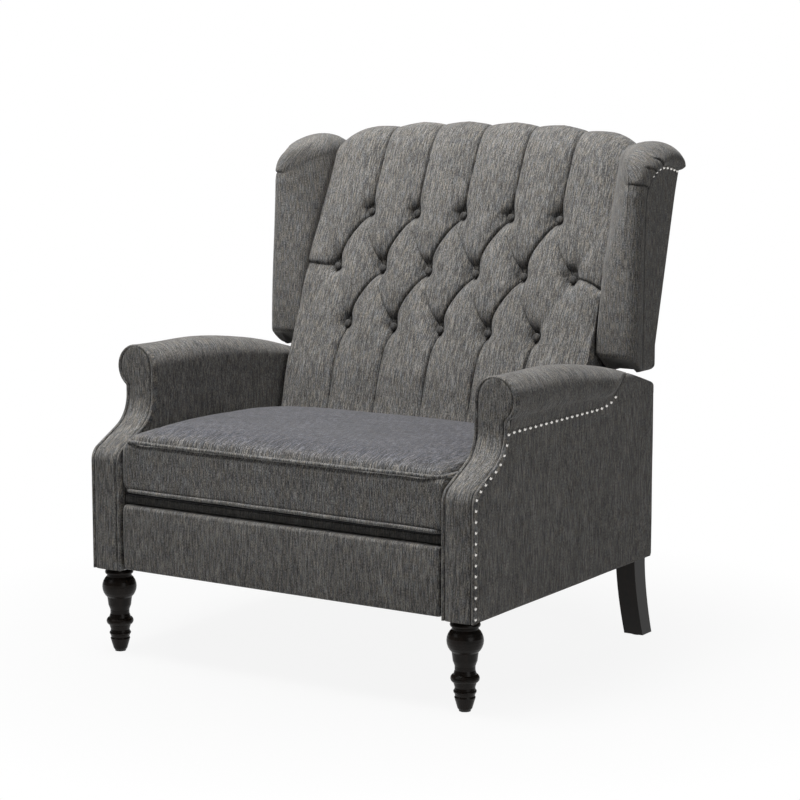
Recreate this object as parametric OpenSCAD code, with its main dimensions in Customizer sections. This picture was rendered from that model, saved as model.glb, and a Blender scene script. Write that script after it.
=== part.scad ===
// Push-back wing recliner, wide seat, tufted back, turned front legs.
// Millimetres. X to the viewer's right, front of the chair towards -Y, floor at Z = 0.
// The origin is on the floor under the middle of the chair.

/* [Overall] */
// Depth over everything, from the front of the arms to the top of the back
overall_d = 844.6; // [835:1:880]
// Height of the crest of the back above the floor
crest_z = 1079.5; // [1060:1:1110]
// Clear width between the two arms
seat_w = 776; // [620:1:840]

/* [Legs] */
// Height of the body above the floor
leg_h = 178; // [150:1:220]
// Largest radius of the turned front leg
leg_bulb_r = 35.5; // [28:0.5:35.5]
// Radius of the front leg at its foot
leg_foot_r = 14.3; // [11:0.5:18]
// Distance from the front of the arm to the axis of the front leg
leg_inset = 36; // [36:1:45]
// Width of the rear leg
rear_leg_w = 44; // [32:1:46]
// Depth of the rear leg at its top
rear_leg_d = 48; // [38:1:52]
// How far the foot of the rear leg stands behind its top
rear_leg_rake = 40; // [10:1:60]
// Thickness of the plastic glides under the legs
glide_t = 3; // [2:0.5:5]
// Thickness of the steel plate on top of each leg
plate_t = 3; // [2:0.5:4]
// Radius of the hanger bolts
bolt_r = 4; // [3:0.5:5]

/* [Arms] */
// Width of the front panel of an arm
arm_w = 71; // [66:1:85]
// How far the rear edge of an arm stands ahead of the top of the back
arm_behind = 115.6; // [104.6:1:130.6]
// Radius of the roll on top of an arm
roll_r = 45.725; // [43:0.5:52]
// Height of the centre of the roll above the floor
roll_z = 585; // [580:1:588]
// Height at which the roll's cover ends on the side panels
roll_base_z = 527; // [518:1:530]
// How far the top of the arm drops towards the rear
arm_drop = 81; // [78:1:90]
// Distance from the front to where that drop starts
drop_start = 236; // [200:1:260]
// Distance from the rear edge of an arm to where the round roll has faded out
roll_fade = 117; // [100:1:150]
// Radius of the lower, convex part of the front curve
knee_r = 34; // [28:1:45]
// Radius of the upper, hollow part of the front curve
throat_r = 70; // [60:1:76]
// Slope of the straight between them, in degrees
throat_slope = 28; // [22:1:34]
// How far the upper part of the arm front is set back
throat_set = 116; // [108:1:130]
// Thickness of the front facing
facing_t = 14; // [10:1:18]
// Thickness of the side panels
panel_t = 12; // [9:1:15]
// Depth of the front posts and throat posts
post_d = 42; // [34:1:50]
// Height of the bottom rails
rail_h = 60; // [45:1:70]
// Height of the rail across the rear
cross_rail_h = 110; // [80:1:120]
// Thickness of the rail across the rear
cross_rail_t = 25; // [20:1:32]
// Height and width of the stretcher behind the seat
stretcher_h = 25; // [20:1:30]
stretcher_w = 45; // [30:1:50]

/* [Nailheads] */
// Distance between nailheads
nail_pitch = 21.5; // [18:0.5:30]
// Radius of a nailhead
nail_r = 4.3; // [3:0.1:5.5]
// Height of a nailhead
nail_h = 2.2; // [1.5:0.1:3]
// Distance of the nail line from the front edge
nail_inset = 7; // [6:0.5:11]
// Number of nailheads on the outside of each wing
wing_nails = 8; // [4:1:9]

/* [Seat] */
// Depth behind the seat that the leaning back takes up
back_run = 298.6; // [290.6:1:309.6]
// Height of the seat deck above the floor
deck_z = 340; // [334:1:352]
// Height of the cushion between its welts
cushion_t = 108; // [90:1:115]
// Rise of the cushion's top above its welt
cushion_crown = 17; // [8:1:22]
// How far the sides of the cushion draw in between its corners
cushion_draw = 4; // [0:0.5:8]
// Side gap between cushion and arm
side_gap = 6; // [4:0.5:8]
// How far the cushion stands behind the front of the arms
cushion_set = 10; // [8:1:16]
// Width of the wooden seat rails
seat_rail_w = 20; // [16:1:24]
// Number of zigzag springs under the seat
spring_n = 6; // [4:1:8]
// Number of bends in each spring
spring_bends = 9; // [7:2:11]
// Radius of the spring wire
wire_r = 1.9; // [1.5:0.1:2.5]

/* [Back] */
// Lean of the outside of the back, in degrees
rear_lean = 15.1; // [14:0.1:16]
// Thickness of the back from its tufting to its outside, at the crest
crest_t = 68; // [64:1:76]
// Height of the rounded crest
crest_h = 49.5; // [44:0.5:54]
// How much lower the crest lies at its two ends
crest_arch = 26; // [15:1:32]
// Side gap between the back and an arm
back_gap = 15; // [12:1:24]
// Depth of the tufting
tuft_h = 21; // [14:0.5:26]
// How many times the distance between buttons goes into the width of the back
tuft_across = 6.27; // [6.1:0.01:7]
// Height between rows of buttons
tuft_z = 120; // [110:1:125]
// Height of the top row of buttons above the floor
tuft_top_z = 880; // [865:1:890]
// Radius of a covered button
button_r = 11.5; // [9:0.5:13]
// Thickness of the wooden back frame
back_frame_t = 26; // [22:1:28]
// Thickness of the outside back panel
back_panel_t = 5; // [4:0.5:8]
// Height of the lower end of the back above the floor
back_bottom_z = 347; // [345:1:360]

/* [Wings] */
// Height of the bottom of the wings above the floor
wing_z = 591; // [588:1:600]
// Height of the top of the wings above the floor
wing_top_z = 1047; // [1030:1:1055]
// Depth of a wing, from its front edge to the top of the back
wing_d = 212.6; // [195.6:1:224.6]
// How far the outside of a wing lies beyond the arm's side panel
wing_out = 3; // [0:0.5:6]
// How much thinner a wing is at the top of its front edge
wing_flare = 40; // [0:1:44]
// Radius of the rounded front edge and top of a wing
wing_r = 26; // [16:1:30]
// Thickness of the board inside a wing
wing_board_t = 12; // [9:1:15]

/* [Footrest] */
// Height of the front panel that swings out as the footrest
panel_h = 136; // [110:1:138]
// Gap between the front panel and the seat rail above it
panel_gap = 4; // [3:0.5:8]
// Thickness of the panel's board
board_t = 12; // [9:1:14]
// Thickness of the panel's padding
board_pad_t = 23; // [16:1:26]

/* [Mechanism] */
// Forward travel of the seat, used for the tracks' length
travel = 75; // [60:1:80]
// Rise of the seat's tracks towards the front, in degrees
track_rise = 4; // [2:0.5:5]
// Thickness of the link bars
link_t = 4; // [3:0.5:4]
// Half width of the link bars
link_r = 9; // [8:0.5:10]
// Radius of the link pins
pin_r = 4; // [3:0.5:4]
// Clearance round the pins and bolts
pin_gap = 0.3; // [0.2:0.05:0.4]
// Length of the rear links between their pins
rear_link = 176; // [174:0.5:180]
// Angle of the rear links when folded, in degrees below level
fold_angle = 36.2; // [35:0.1:37]
// Radius of the bolts that the back turns on
pivot_r = 6; // [5:0.5:7]
// Height of these bolts above the floor
pivot_z = 500; // [490:1:505]

/* [Hidden] */

eps = 0.3;
front_y = -overall_d / 2;
top_y = overall_d / 2;
arm_in = seat_w / 2;
arm_out = arm_in + arm_w;
arm_mid = arm_in + arm_w / 2;
roll_x = arm_in + roll_r;
arm_rear = top_y - arm_behind;
arm_d = arm_rear - front_y;
throat_y = front_y + throat_set;
seat_half = arm_in - side_gap;
pad_half = arm_in - back_gap;
tuft_x = 2 * pad_half / tuft_across;

// Front curve of an arm: the throat ends where the roll's cover begins
throat_at = [throat_y - throat_r, roll_base_z];
curve_turn = 90 - throat_slope;
throat_low = throat_at + throat_r * [cos(curve_turn), -sin(curve_turn)];
knee_y = front_y + knee_r;
knee_high_y = knee_y - knee_r * cos(curve_turn);
knee_z = throat_low[1] - (throat_low[0] - knee_high_y) * tan(throat_slope) - knee_r * sin(curve_turn);

// Legs
leg_x = arm_mid - 4;
leg_y = front_y + leg_inset;
leg_top = leg_h - plate_t;
rear_leg_y = arm_rear - rear_leg_d / 2 + 2;
bolt_in_leg = 36;
bolt_in_post = 30;
plate_w = 46;

// Planes of the back: the tufting's buttons lie on one, the outside on the other
cushion_top = deck_z + cushion_t + 7;
shoulder_z = crest_z - crest_h;
cushion_y = front_y + cushion_set;
seat_d = overall_d - cushion_set - back_run;
face_lean = atan((top_y - crest_t - cushion_y - seat_d) / (shoulder_z - cushion_top));
function face_y(z) = cushion_y + seat_d + (z - cushion_top) * tan(face_lean);
function rear_y(z) = top_y - (shoulder_z - z) * tan(rear_lean);
frame_back = back_panel_t;
frame_front = back_panel_t + back_frame_t;
pivot_y = rear_y(pivot_z) - frame_back - back_frame_t / 2;
pivot_post_y = pivot_y - 28;
frame_top = shoulder_z - 22;
post_in = pad_half - 33;

// Seat
rail_top = deck_z - 4;
side_rail_x = seat_half - 10 - seat_rail_w;
seat_rear = face_y(deck_z) - 18;
lip_t = 15;
lip_d = 58;
lip_y = cushion_y + 4;

// Tracks
track_t = 3;
runner_w = 12;
runner_h = 16;
runner_x = side_rail_x + seat_rail_w;
track_mid_y = (lip_y + lip_d + seat_rear) / 2;
runner_half = (seat_rear - lip_y - lip_d) / 2 - 15;
track_mid_z = deck_z - 42;

// Linkage, in the seat's place at rest
board_y = front_y + 27.3;
panel_top = deck_z - 4 - lip_t - panel_gap;
panel_mid = panel_top - panel_h / 2;
link_a = [front_y + 207, deck_z - 40];
link_b = link_a + rear_link * [cos(fold_angle), -sin(fold_angle)];
link_c = [board_y + board_t + link_r + 2, panel_mid + 2];
twin = [-30, -11];
link_d = link_a + twin;
link_e = link_b + twin;
link_f = link_b + 18 * [cos(82.4), sin(82.4)];
link_g = link_c + 34.5 * [cos(50.4), sin(50.4)];
open_pin_gap = 2.4;
layer = link_t + 1;
bracket_t = 5;
bracket_x = side_rail_x - bracket_t;
function layer_x(k) = bracket_x - k * layer;

function smooth(t) = let (c = min(1, max(0, t))) c * c * (3 - 2 * c);
function arc(c, r, a0, a1, n) =
    [for (i = [0:n]) c + r * [cos(a0 + (a1 - a0) * i / n), sin(a0 + (a1 - a0) * i / n)]];
function flip(list) = [for (i = [len(list) - 1:-1:0]) list[i]];
function mean(ring) = [for (k = [0:2]) sum([for (p = ring) p[k]]) / len(ring)];
function sum(v, i = 0) = i < len(v) ? v[i] + sum(v, i + 1) : 0;

// Repeats its children on the other side of the chair.
module both_sides() {
    children();
    mirror([1, 0, 0]) children();
}

// A plate with the outline pts, given as [y, z], between two places on X.
module slab_x(x0, x1, pts) {
    translate([x0, 0, 0]) rotate([90, 0, 90]) linear_extrude(x1 - x0) polygon(pts);
}

// A box between two corners.
module block(low, high) {
    translate(low) cube(high - low);
}

// A round bar along X.
module bar_x(x0, x1, at, r, n = 32) {
    translate([x0, at[0], at[1]]) rotate([0, 90, 0]) cylinder(h = x1 - x0, r = r, $fn = n);
}

// A closed solid through equal rings of points, with a fan on each end.
module loft(rings) {
    n = len(rings[0]);
    m = len(rings);
    a = mean(rings[0]);
    b = mean(rings[m - 1]);
    polyhedron(
        points = concat([for (r = rings) each r], [a, b]),
        faces = concat(
            [for (j = [0:n - 1]) [m * n, (j + 1) % n, j]],
            [for (j = [0:n - 1]) [m * n + 1, (m - 1) * n + j, (m - 1) * n + (j + 1) % n]],
            [for (i = [0:m - 2]) for (j = [0:n - 1]) each [
                [i * n + j, i * n + (j + 1) % n, (i + 1) * n + j],
                [i * n + (j + 1) % n, (i + 1) * n + (j + 1) % n, (i + 1) * n + j]]]));
}

// A wire of radius r along pts, all in one level plane.
module wire(pts, r, sides) {
    m = len(pts);
    function heading(i) = let (d = pts[min(m - 1, i + 1)] - pts[max(0, i - 1)]) d / norm(d);
    loft([for (i = [0:m - 1]) let (h = heading(i))
        [for (k = [0:sides - 1]) let (t = 360 * k / sides)
            pts[i] + r * (cos(t) * [h[1], -h[0], 0] + sin(t) * [0, 0, 1])]]);
}

// Arm front, seen from the side: the curve at a distance behind the front edge
function front_curve(off, z0, z1) =
    concat([[front_y + off, z0]],
        arc([knee_y, knee_z], knee_r - off, 180, 180 - curve_turn, 8),
        arc(throat_at, throat_r + off, -curve_turn, 0, 10),
        z1 > roll_base_z ? [[throat_y + off, z1]] : []);
function arm_top(y) =
    let (t = max(0, y - front_y - drop_start) / (arm_d - drop_start)) roll_z + roll_r - arm_drop * t * t;

module turned_leg() {
    color("#15110f") difference() {
        rotate_extrude($fn = 64) polygon(concat(
            [[0, glide_t], [leg_foot_r - 2, glide_t], [leg_foot_r, glide_t + 3]],
            [[20.4, 27], [18.8, 30]],
            arc([18.8, 38.5], 3.5, -60, 60, 4),
            [[19.4, 46]],
            arc([19.6, 64], 8.4, -70, 70, 6),
            [[19.8, 80], [19.8, 88], [23.5, 98]],
            arc([leg_bulb_r - 30, 137], 30, -48, 48, 8),
            [[25, 164]],
            arc([24.4, leg_top - 7], 5, -70, 70, 4),
            [[25, leg_top], [0, leg_top]]));
        translate([0, 0, leg_top - bolt_in_leg - 2])
            cylinder(h = bolt_in_leg + 3, r = bolt_r + pin_gap, $fn = 32);
    }
}
module front_leg_right() { translate([leg_x, leg_y, 0]) turned_leg(); }
module front_leg_left() { mirror([1, 0, 0]) front_leg_right(); }

// A sabre leg: both of its long edges are arcs.
module rear_leg_right() {
    foot_d = rear_leg_d - 7;
    steps = 8;
    function lean(t) = rear_leg_rake * pow(1 - t, 1.6);
    function edge(side) = [for (i = [0:steps]) let (t = i / steps, d = foot_d + (rear_leg_d - foot_d) * t)
        [rear_leg_y + lean(t) + side * d / 2, glide_t + (leg_top - glide_t) * t]];
    color("#15110f") difference() {
        slab_x(leg_x - rear_leg_w / 2, leg_x + rear_leg_w / 2, concat(edge(-1), flip(edge(1))));
        translate([leg_x, rear_leg_y, leg_top - bolt_in_leg - 2])
            cylinder(h = bolt_in_leg + 3, r = bolt_r + pin_gap, $fn = 32);
    }
}
module rear_leg_left() { mirror([1, 0, 0]) rear_leg_right(); }

module leg_glides() {
    color("#3a3a3a") both_sides() {
        translate([leg_x, leg_y, 0]) cylinder(h = glide_t, r = leg_foot_r - 3, $fn = 32);
        translate([leg_x, rear_leg_y + rear_leg_rake, 0]) cylinder(h = glide_t, r = leg_foot_r - 1, $fn = 32);
    }
}
module leg_plates() {
    color("silver") both_sides() for (y = [leg_y, rear_leg_y]) difference() {
        block([leg_x - plate_w / 2, y - plate_w / 2, leg_top], [leg_x + plate_w / 2, y + plate_w / 2, leg_h]);
        translate([leg_x, y, leg_top - 1]) cylinder(h = plate_t + 2, r = bolt_r + pin_gap, $fn = 32);
    }
}
module leg_bolts() {
    color("silver") both_sides() for (y = [leg_y, rear_leg_y])
        translate([leg_x, y, leg_top - bolt_in_leg])
            cylinder(h = bolt_in_leg + plate_t + bolt_in_post, r = bolt_r, $fn = 32);
}
// The hole in a post that a leg's bolt is screwed into
module bolt_hole(y) {
    translate([leg_x, y, leg_h - 1]) cylinder(h = bolt_in_post + 3, r = bolt_r + pin_gap, $fn = 32);
}

// Where the line of nailheads leaves the roll's underside and rises
nail_lead = 90;
nail_turn_y = arm_rear - roll_fade - nail_lead - 5;
post_x0 = arm_in + panel_t;
post_x1 = arm_out - panel_t;
front_post_y = front_y + facing_t;
throat_post_y = throat_y + facing_t;
module arm_front_posts() {
    color("tan") both_sides() difference() {
        block([post_x0, front_post_y, leg_h], [post_x1, front_post_y + post_d, knee_z - 8]);
        bolt_hole(leg_y);
    }
}
module arm_throat_posts() {
    color("tan") both_sides()
        block([post_x0, throat_post_y, leg_h + rail_h], [post_x1, throat_post_y + post_d, roll_base_z]);
}
module arm_rear_posts() {
    color("tan") both_sides() difference() {
        block([post_x0, pivot_post_y, leg_h], [post_x1, arm_rear - panel_t, roll_base_z]);
        bolt_hole(rear_leg_y);
        bar_x(post_x0 - 1, post_x0 + 31, [pivot_y, pivot_z], pivot_r + pin_gap);
    }
}
module arm_top_rails() {
    color("tan") both_sides()
        block([post_x0, throat_post_y + post_d, roll_base_z - 28], [post_x1, pivot_post_y, roll_base_z]);
}
module arm_bottom_rails() {
    color("tan") both_sides()
        block([post_x0, front_post_y + post_d, leg_h], [post_x1, pivot_post_y, leg_h + rail_h]);
}

// Outline of a side panel, up to its rear edge
function side_outline(rear) =
    concat(front_curve(facing_t, leg_h, roll_base_z), [[rear, roll_base_z], [rear, leg_h]]);
module arm_inside_panels() {
    color("dimgray") both_sides() difference() {
        slab_x(arm_in, post_x0, side_outline(arm_rear - panel_t));
        bar_x(arm_in - 1, post_x0 + 1, [pivot_y, pivot_z], pivot_r + pin_gap);
    }
}
// The outside panel goes round the arm's rear end.
module arm_outside_panels() {
    color("#55575a") both_sides() union() {
        slab_x(post_x1, arm_out, side_outline(arm_rear));
        block([arm_in, arm_rear - panel_t, leg_h], [post_x1 + 1, arm_rear, roll_base_z]);
    }
}
module arm_facing_right() {
    color("#595b5e") union() {
        slab_x(arm_in, arm_out,
            concat(front_curve(0, leg_h, roll_base_z), flip(front_curve(facing_t, leg_h, roll_base_z))));
        translate([0, throat_y + facing_t, 0]) rotate([90, 0, 0]) linear_extrude(facing_t)
            polygon(concat([[arm_in, roll_base_z - 0.5], [arm_out, roll_base_z - 0.5], [arm_out, roll_base_z]],
                arc([roll_x, roll_z], roll_r, -50, 180, 24)));
    }
}
module arm_facing_left() { mirror([1, 0, 0]) arm_facing_right(); }

// The padded top of an arm: round at the front, fading to a flat panel at the rear
module arm_roll_right() {
    steps = 14;
    y0 = throat_y + facing_t;
    base = roll_z + roll_r - roll_base_z;
    function ring(y) =
        let (h = (arm_top(y) - roll_base_z) / base)
        concat([[arm_in, y, roll_base_z], [arm_out, y, roll_base_z]],
            [for (i = [0:18]) let (a = -50 + 230 * i / 18, c = cos(a),
                z = roll_base_z + h * (roll_z - roll_base_z + roll_r * sin(a)),
                bulge = 1 - smooth((y - nail_turn_y + nail_lead) / nail_lead),
                out = arm_out - roll_x + bulge * (roll_x + roll_r - arm_out))
                [a < 0 ? arm_out + bulge * (roll_x + roll_r * c - arm_out)
                    : roll_x + (c > 0 ? out : roll_r) * c, y, z]]);
    color("#5f6164") loft([for (i = [0:steps]) ring(y0 + (arm_rear - y0) * i / steps)]);
}
module arm_roll_left() { mirror([1, 0, 0]) arm_roll_right(); }

// Nailheads follow the front edge, turn below the roll and rise where it ends.
nail_z = roll_base_z - 4;
nail_corner_r = 8;
nail_rise_r = 130;
nail_path = concat(
    [for (p = front_curve(nail_inset, leg_h + 10, roll_base_z)) if (p[1] < nail_z - nail_corner_r) p],
    arc([throat_y + nail_inset + nail_corner_r, nail_z - nail_corner_r], nail_corner_r, 180, 90, 4),
    arc([nail_turn_y, nail_z + nail_rise_r], nail_rise_r, -90, -46, 6));
nail_steps = [for (i = [1:len(nail_path) - 1]) norm(nail_path[i] - nail_path[i - 1])];
nail_at = [for (i = [0:len(nail_path) - 1]) sum([for (j = [0:1:i - 1]) nail_steps[j]])];
nail_total = nail_at[len(nail_path) - 1];
module nail() {
    rotate([0, 90, 0]) cylinder(h = nail_h, r1 = nail_r, r2 = nail_r * 0.45, $fn = 6);
}
module arm_nails_right() {
    count = floor(nail_total / nail_pitch);
    ys = [for (i = [0:len(nail_path) - 1]) [nail_at[i], nail_path[i][0]]];
    zs = [for (i = [0:len(nail_path) - 1]) [nail_at[i], nail_path[i][1]]];
    color("silver") for (i = [0:count]) let (s = nail_total * i / count)
        translate([arm_out, lookup(s, ys), lookup(s, zs)]) nail();
}
module arm_nails_left() { mirror([1, 0, 0]) arm_nails_right(); }

module rear_cross_rail() {
    y1 = arm_rear - panel_t;
    color("tan") block([-arm_in, y1 - cross_rail_t, leg_h + 8], [arm_in, y1, leg_h + 8 + cross_rail_h]);
}
module middle_stretcher() {
    color("tan") block([-arm_in, seat_rear, leg_h + 2],
        [arm_in, seat_rear + stretcher_w, leg_h + 2 + stretcher_h]);
}
module base_rear_panel() {
    color("#4c4e51") block([-arm_in, arm_rear - panel_t, leg_h], [arm_in, arm_rear, pivot_z - 5]);
}

// Frame of the slide: a child drawn level is tilted about the middle of the track.
module on_track() {
    translate([0, track_mid_y, track_mid_z]) rotate([-track_rise, 0, 0]) children();
}
runner_overhang = 45;
module seat_tracks() {
    ledge_x = runner_x + 1;
    low = -runner_h / 2 - eps;
    front = -runner_half - travel + runner_overhang;
    color("#2e2e30") both_sides() on_track() union() {
        block([arm_in - track_t, front, low - track_t], [arm_in, runner_half, runner_h / 2 + 4]);
        block([ledge_x, front, low - track_t], [arm_in - 1, runner_half, low]);
    }
}
module seat_runners() {
    color("#8d9094") both_sides() on_track()
        block([runner_x, -runner_half, -runner_h / 2], [runner_x + runner_w, runner_half, runner_h / 2]);
}

plate_out = pad_half + 4;
module back_pivot_bolts() {
    color("silver") both_sides() bar_x(plate_out - 28, post_x0 + 30, [pivot_y, pivot_z], pivot_r);
}
module back_pivot_spacers() {
    color("#777777") both_sides() difference() {
        bar_x(plate_out + eps, arm_in, [pivot_y, pivot_z], pivot_r + 8);
        bar_x(plate_out, arm_in + 1, [pivot_y, pivot_z], pivot_r + 0.2);
    }
}

module seat_front_rail() {
    color("#55575a") block([-seat_half, lip_y, rail_top - lip_t], [seat_half, lip_y + lip_d, rail_top]);
}
module seat_side_rails() {
    color("tan") both_sides() block([side_rail_x, lip_y + lip_d, rail_top - 46],
        [side_rail_x + seat_rail_w, seat_rear, rail_top]);
}
module seat_rear_rail() {
    color("tan") block([-side_rail_x, seat_rear - 20, rail_top - 36], [side_rail_x, seat_rear, rail_top]);
}
spring_y0 = lip_y + lip_d + 10;
spring_y1 = seat_rear - 30;
spring_z = rail_top - 7;
function spring_x(i) = -side_rail_x + 2 * side_rail_x * (i + 0.5) / spring_n;
// A zigzag wire: straight runs across, joined by half rounds
module seat_springs() {
    half = 20;
    step = (spring_y1 - spring_y0) / (spring_bends + 1);
    turn = step / 2;
    function bend(i) = let (side = i % 2 == 0 ? 1 : -1)
        [for (k = [0:3]) let (a = -90 + 60 * k)
            [side * (half - turn + turn * cos(a)), spring_y0 + step * (i + 1) + turn * sin(a), 0]];
    route = concat([[0, spring_y0, 0], [0, spring_y0 + turn * 0.6, 0]],
        [for (i = [0:spring_bends - 1]) each bend(i)],
        [[0, spring_y1 - turn * 0.6, 0], [0, spring_y1, 0]]);
    color("#3b3d40") for (i = [0:spring_n - 1])
        translate([spring_x(i), 0, spring_z]) wire(route, wire_r, 5);
}
module spring_clips() {
    color("#9a9ca0") for (i = [0:spring_n - 1]) {
        clip = [8, 10, 5];
        place = [spring_x(i), 0, spring_z];
        block(place + [-clip[0], spring_y0 - clip[1], -clip[2]], place + [clip[0], spring_y0 - 0.2, clip[2]]);
        block(place + [-clip[0], spring_y1 + 0.2, -clip[2]], place + [clip[0], spring_y1 + clip[1], clip[2]]);
    }
}
module seat_deck() {
    color("#4c4e51") block([-seat_half, lip_y, rail_top], [seat_half, seat_rear, deck_z - eps]);
}

// Boxed cushion: rounded plan that draws in between its corners, crowned top
module seat_cushion() {
    corner = 26;
    base = deck_z;
    welt = deck_z + cushion_t;
    function rear(z) = face_y(z) - 5;
    function side(n, a, b) = [for (i = [0:n - 1]) a + (b - a) * i / n];
    // Outline at height z, drawn in by e all round
    function outline(z, e) =
        let (x = seat_half - e, y0 = cushion_y + e, y1 = rear(z) - e, r = corner,
            draw = cushion_draw, mid_y = (y0 + y1) / 2, half_y = (y1 - y0) / 2 - r)
        concat(
            [for (t = side(8, -1, 1)) [t * (x - r), y0 + draw * (1 - t * t), z]],
            [for (k = [0:2]) let (a = -90 + 45 * k) [x - r + r * cos(a), y0 + r + r * sin(a), z]],
            [for (t = side(6, -1, 1)) if (t > -1) [x - draw * (1 - t * t), mid_y + t * half_y, z]],
            [for (k = [0:2]) let (a = 45 * k) [x - r + r * cos(a), y1 - r + r * sin(a), z]],
            [for (t = side(8, 1, -1)) if (t < 1) [t * (x - r), y1, z]],
            [for (k = [0:2]) let (a = 90 + 45 * k) [-x + r + r * cos(a), y1 - r + r * sin(a), z]],
            [for (t = side(6, 1, -1)) if (t < 1) [-x + draw * (1 - t * t), mid_y + t * half_y, z]],
            [for (k = [0:1]) let (a = 180 + 45 * k) [-x + r + r * cos(a), y0 + r + r * sin(a), z]]);
    color("#64687a") loft([
        outline(base, 5), outline(base + 4, 1.5), outline(base + 12, 3),
        outline(base + cushion_t * 0.5, 0), outline(welt - 9, 3), outline(welt, 1.5), outline(welt + 3, 5),
        for (k = [[0.42, 0.065], [0.76, 0.17], [0.93, 0.28], [1, 0.375]])
            outline(welt + cushion_crown * k[0], seat_d * k[1])]);
}

module link_brackets() {
    color("#8d9094") both_sides() difference() {
        block([bracket_x, link_d[0] - 2.4 * link_r, link_d[1] - 1.5 * link_r],
            [side_rail_x, link_a[0] + 2.9 * link_r, rail_top - link_r]);
        for (p = [link_a, link_d]) bar_x(bracket_x - 1, side_rail_x + 1, p, pin_r + 0.02);
    }
}
module bracket_pins() {
    color("silver") both_sides() {
        bar_x(layer_x(2), side_rail_x, link_a, pin_r);
        bar_x(layer_x(1), side_rail_x, link_d, pin_r);
    }
}

// A link: flat bars between pairs of points of the [y, z] plane, in a layer inside the seat rail
module link_plate(k, pairs, r = link_r) {
    translate([layer_x(k), 0, 0]) rotate([90, 0, 90]) linear_extrude(link_t)
        for (pair = pairs) hull() for (end = pair) translate(end) circle(r = r, $fn = 32);
}
module link_hole(k, at, r) {
    bar_x(layer_x(k) - 1, layer_x(k) + link_t + 1, at, r);
}
module control_links() {
    color("#8d9094") both_sides() difference() {
        link_plate(1, [[link_d, link_e]]);
        link_hole(1, link_d, pin_r + pin_gap);
        link_hole(1, link_e, pin_r + 0.02);
    }
}
module control_link_pins() {
    color("silver") both_sides() bar_x(layer_x(3), layer_x(1) + link_t, link_e, pin_r);
}
module rear_links() {
    color("#8d9094") both_sides() difference() {
        link_plate(2, [[link_a, link_b], [link_b, link_f]]);
        link_hole(2, link_a, pin_r + pin_gap);
        for (p = [link_b, link_f]) link_hole(2, p, pin_r + 0.02);
    }
}
module rear_link_pins() {
    color("silver") both_sides() {
        bar_x(layer_x(3), layer_x(2) + link_t, link_b, pin_r);
        bar_x(layer_x(4), layer_x(2) + link_t, link_f, pin_r);
    }
}
module front_links() {
    color("#8d9094") both_sides() difference() {
        link_plate(3, [[link_b, link_c], [link_b, link_e]]);
        link_hole(3, link_b, pin_r + pin_gap);
        link_hole(3, link_e, pin_r + 2 * pin_gap);
        link_hole(3, link_c, pin_r + 0.02);
    }
}
module front_link_pins() {
    color("silver") both_sides() bar_x(layer_x(5), layer_x(3) + link_t, link_c, pin_r);
}
module board_links() {
    color("#8d9094") both_sides() difference() {
        link_plate(4, [[link_f, link_g]], link_r + 1);
        link_hole(4, link_f, pin_r + pin_gap);
        link_hole(4, link_g, pin_r + open_pin_gap);
    }
}
module footrest_brackets() {
    x0 = layer_x(5);
    color("#8d9094") both_sides() difference() {
        union() {
            slab_x(x0, x0 + link_t, [[board_y + board_t, link_c[1] - 22], [link_c[0] + 8, link_c[1] - 12],
                [link_g[0] + 10, link_g[1] - 6], [link_g[0] + 6, link_g[1] + 10],
                [board_y + board_t, link_g[1] + 14]]);
            block([x0 - 16, board_y + board_t, link_c[1] - 22],
                [x0 + 1, board_y + board_t + 3, link_g[1] + 14]);
        }
        link_hole(5, link_c, pin_r + pin_gap);
        link_hole(5, link_g, pin_r + 0.02);
    }
}
module footrest_bracket_pins() {
    color("silver") both_sides() bar_x(layer_x(5), layer_x(4) + link_t, link_g, pin_r);
}
module footrest_board() {
    color("tan") block([-seat_half + 4, board_y, panel_top - panel_h + 3],
        [seat_half - 4, board_y + board_t, panel_top - 3]);
}
// Padded front of the footrest, fuller in its middle
module footrest_pad() {
    n = 16;
    y1 = board_y;
    function ring(t) =
        let (x = t * seat_half, w = 1 - pow(abs(t), 8), y0 = y1 - board_pad_t + 7 * (1 - w),
            z0 = panel_top - panel_h, z1 = panel_top, e = 4 * pow(abs(t), 8))
        [[x, y1, z0 + 2 + e], [x, y0 + 7, z0 + e], [x, y0 + 2.5, z0 + 5 + e], [x, y0, z0 + 30],
            [x, y0 - 1.2 * w, (z0 + z1) / 2], [x, y0, z1 - 30], [x, y0 + 2.5, z1 - 5 - e],
            [x, y0 + 7, z1 - e], [x, y1, z1 - 2 - e]];
    color("#5a5c5f") loft([for (i = [0:n]) let (u = -1 + 2 * i / n) ring(sin(90 * u))]);
}

// Boards of the back frame, sheared to the lean of the back
module back_board(x0, x1, z0, z1) {
    slab_x(x0, x1, [[rear_y(z0) - frame_front, z0], [rear_y(z0) - frame_back, z0],
        [rear_y(z1) - frame_back, z1], [rear_y(z1) - frame_front, z1]]);
}
module back_posts() {
    color("tan") both_sides() difference() {
        back_board(post_in, pad_half, back_bottom_z, frame_top);
        bar_x(plate_out - 29, pad_half + 1, [pivot_y, pivot_z], pivot_r + pin_gap);
    }
}
top_rail_h = 42;
middle_rail_h = 40;
bottom_rail_h = 50;
strap_w = 50;
strap_t = 2;
module back_top_rail() { color("tan") back_board(-post_in, post_in, frame_top - top_rail_h, frame_top); }
module back_middle_rail() {
    z0 = (back_bottom_z + frame_top - middle_rail_h) / 2;
    color("tan") back_board(-post_in, post_in, z0, z0 + middle_rail_h);
}
module back_bottom_rail() {
    color("tan") back_board(-post_in, post_in, back_bottom_z, back_bottom_z + bottom_rail_h);
}
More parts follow.
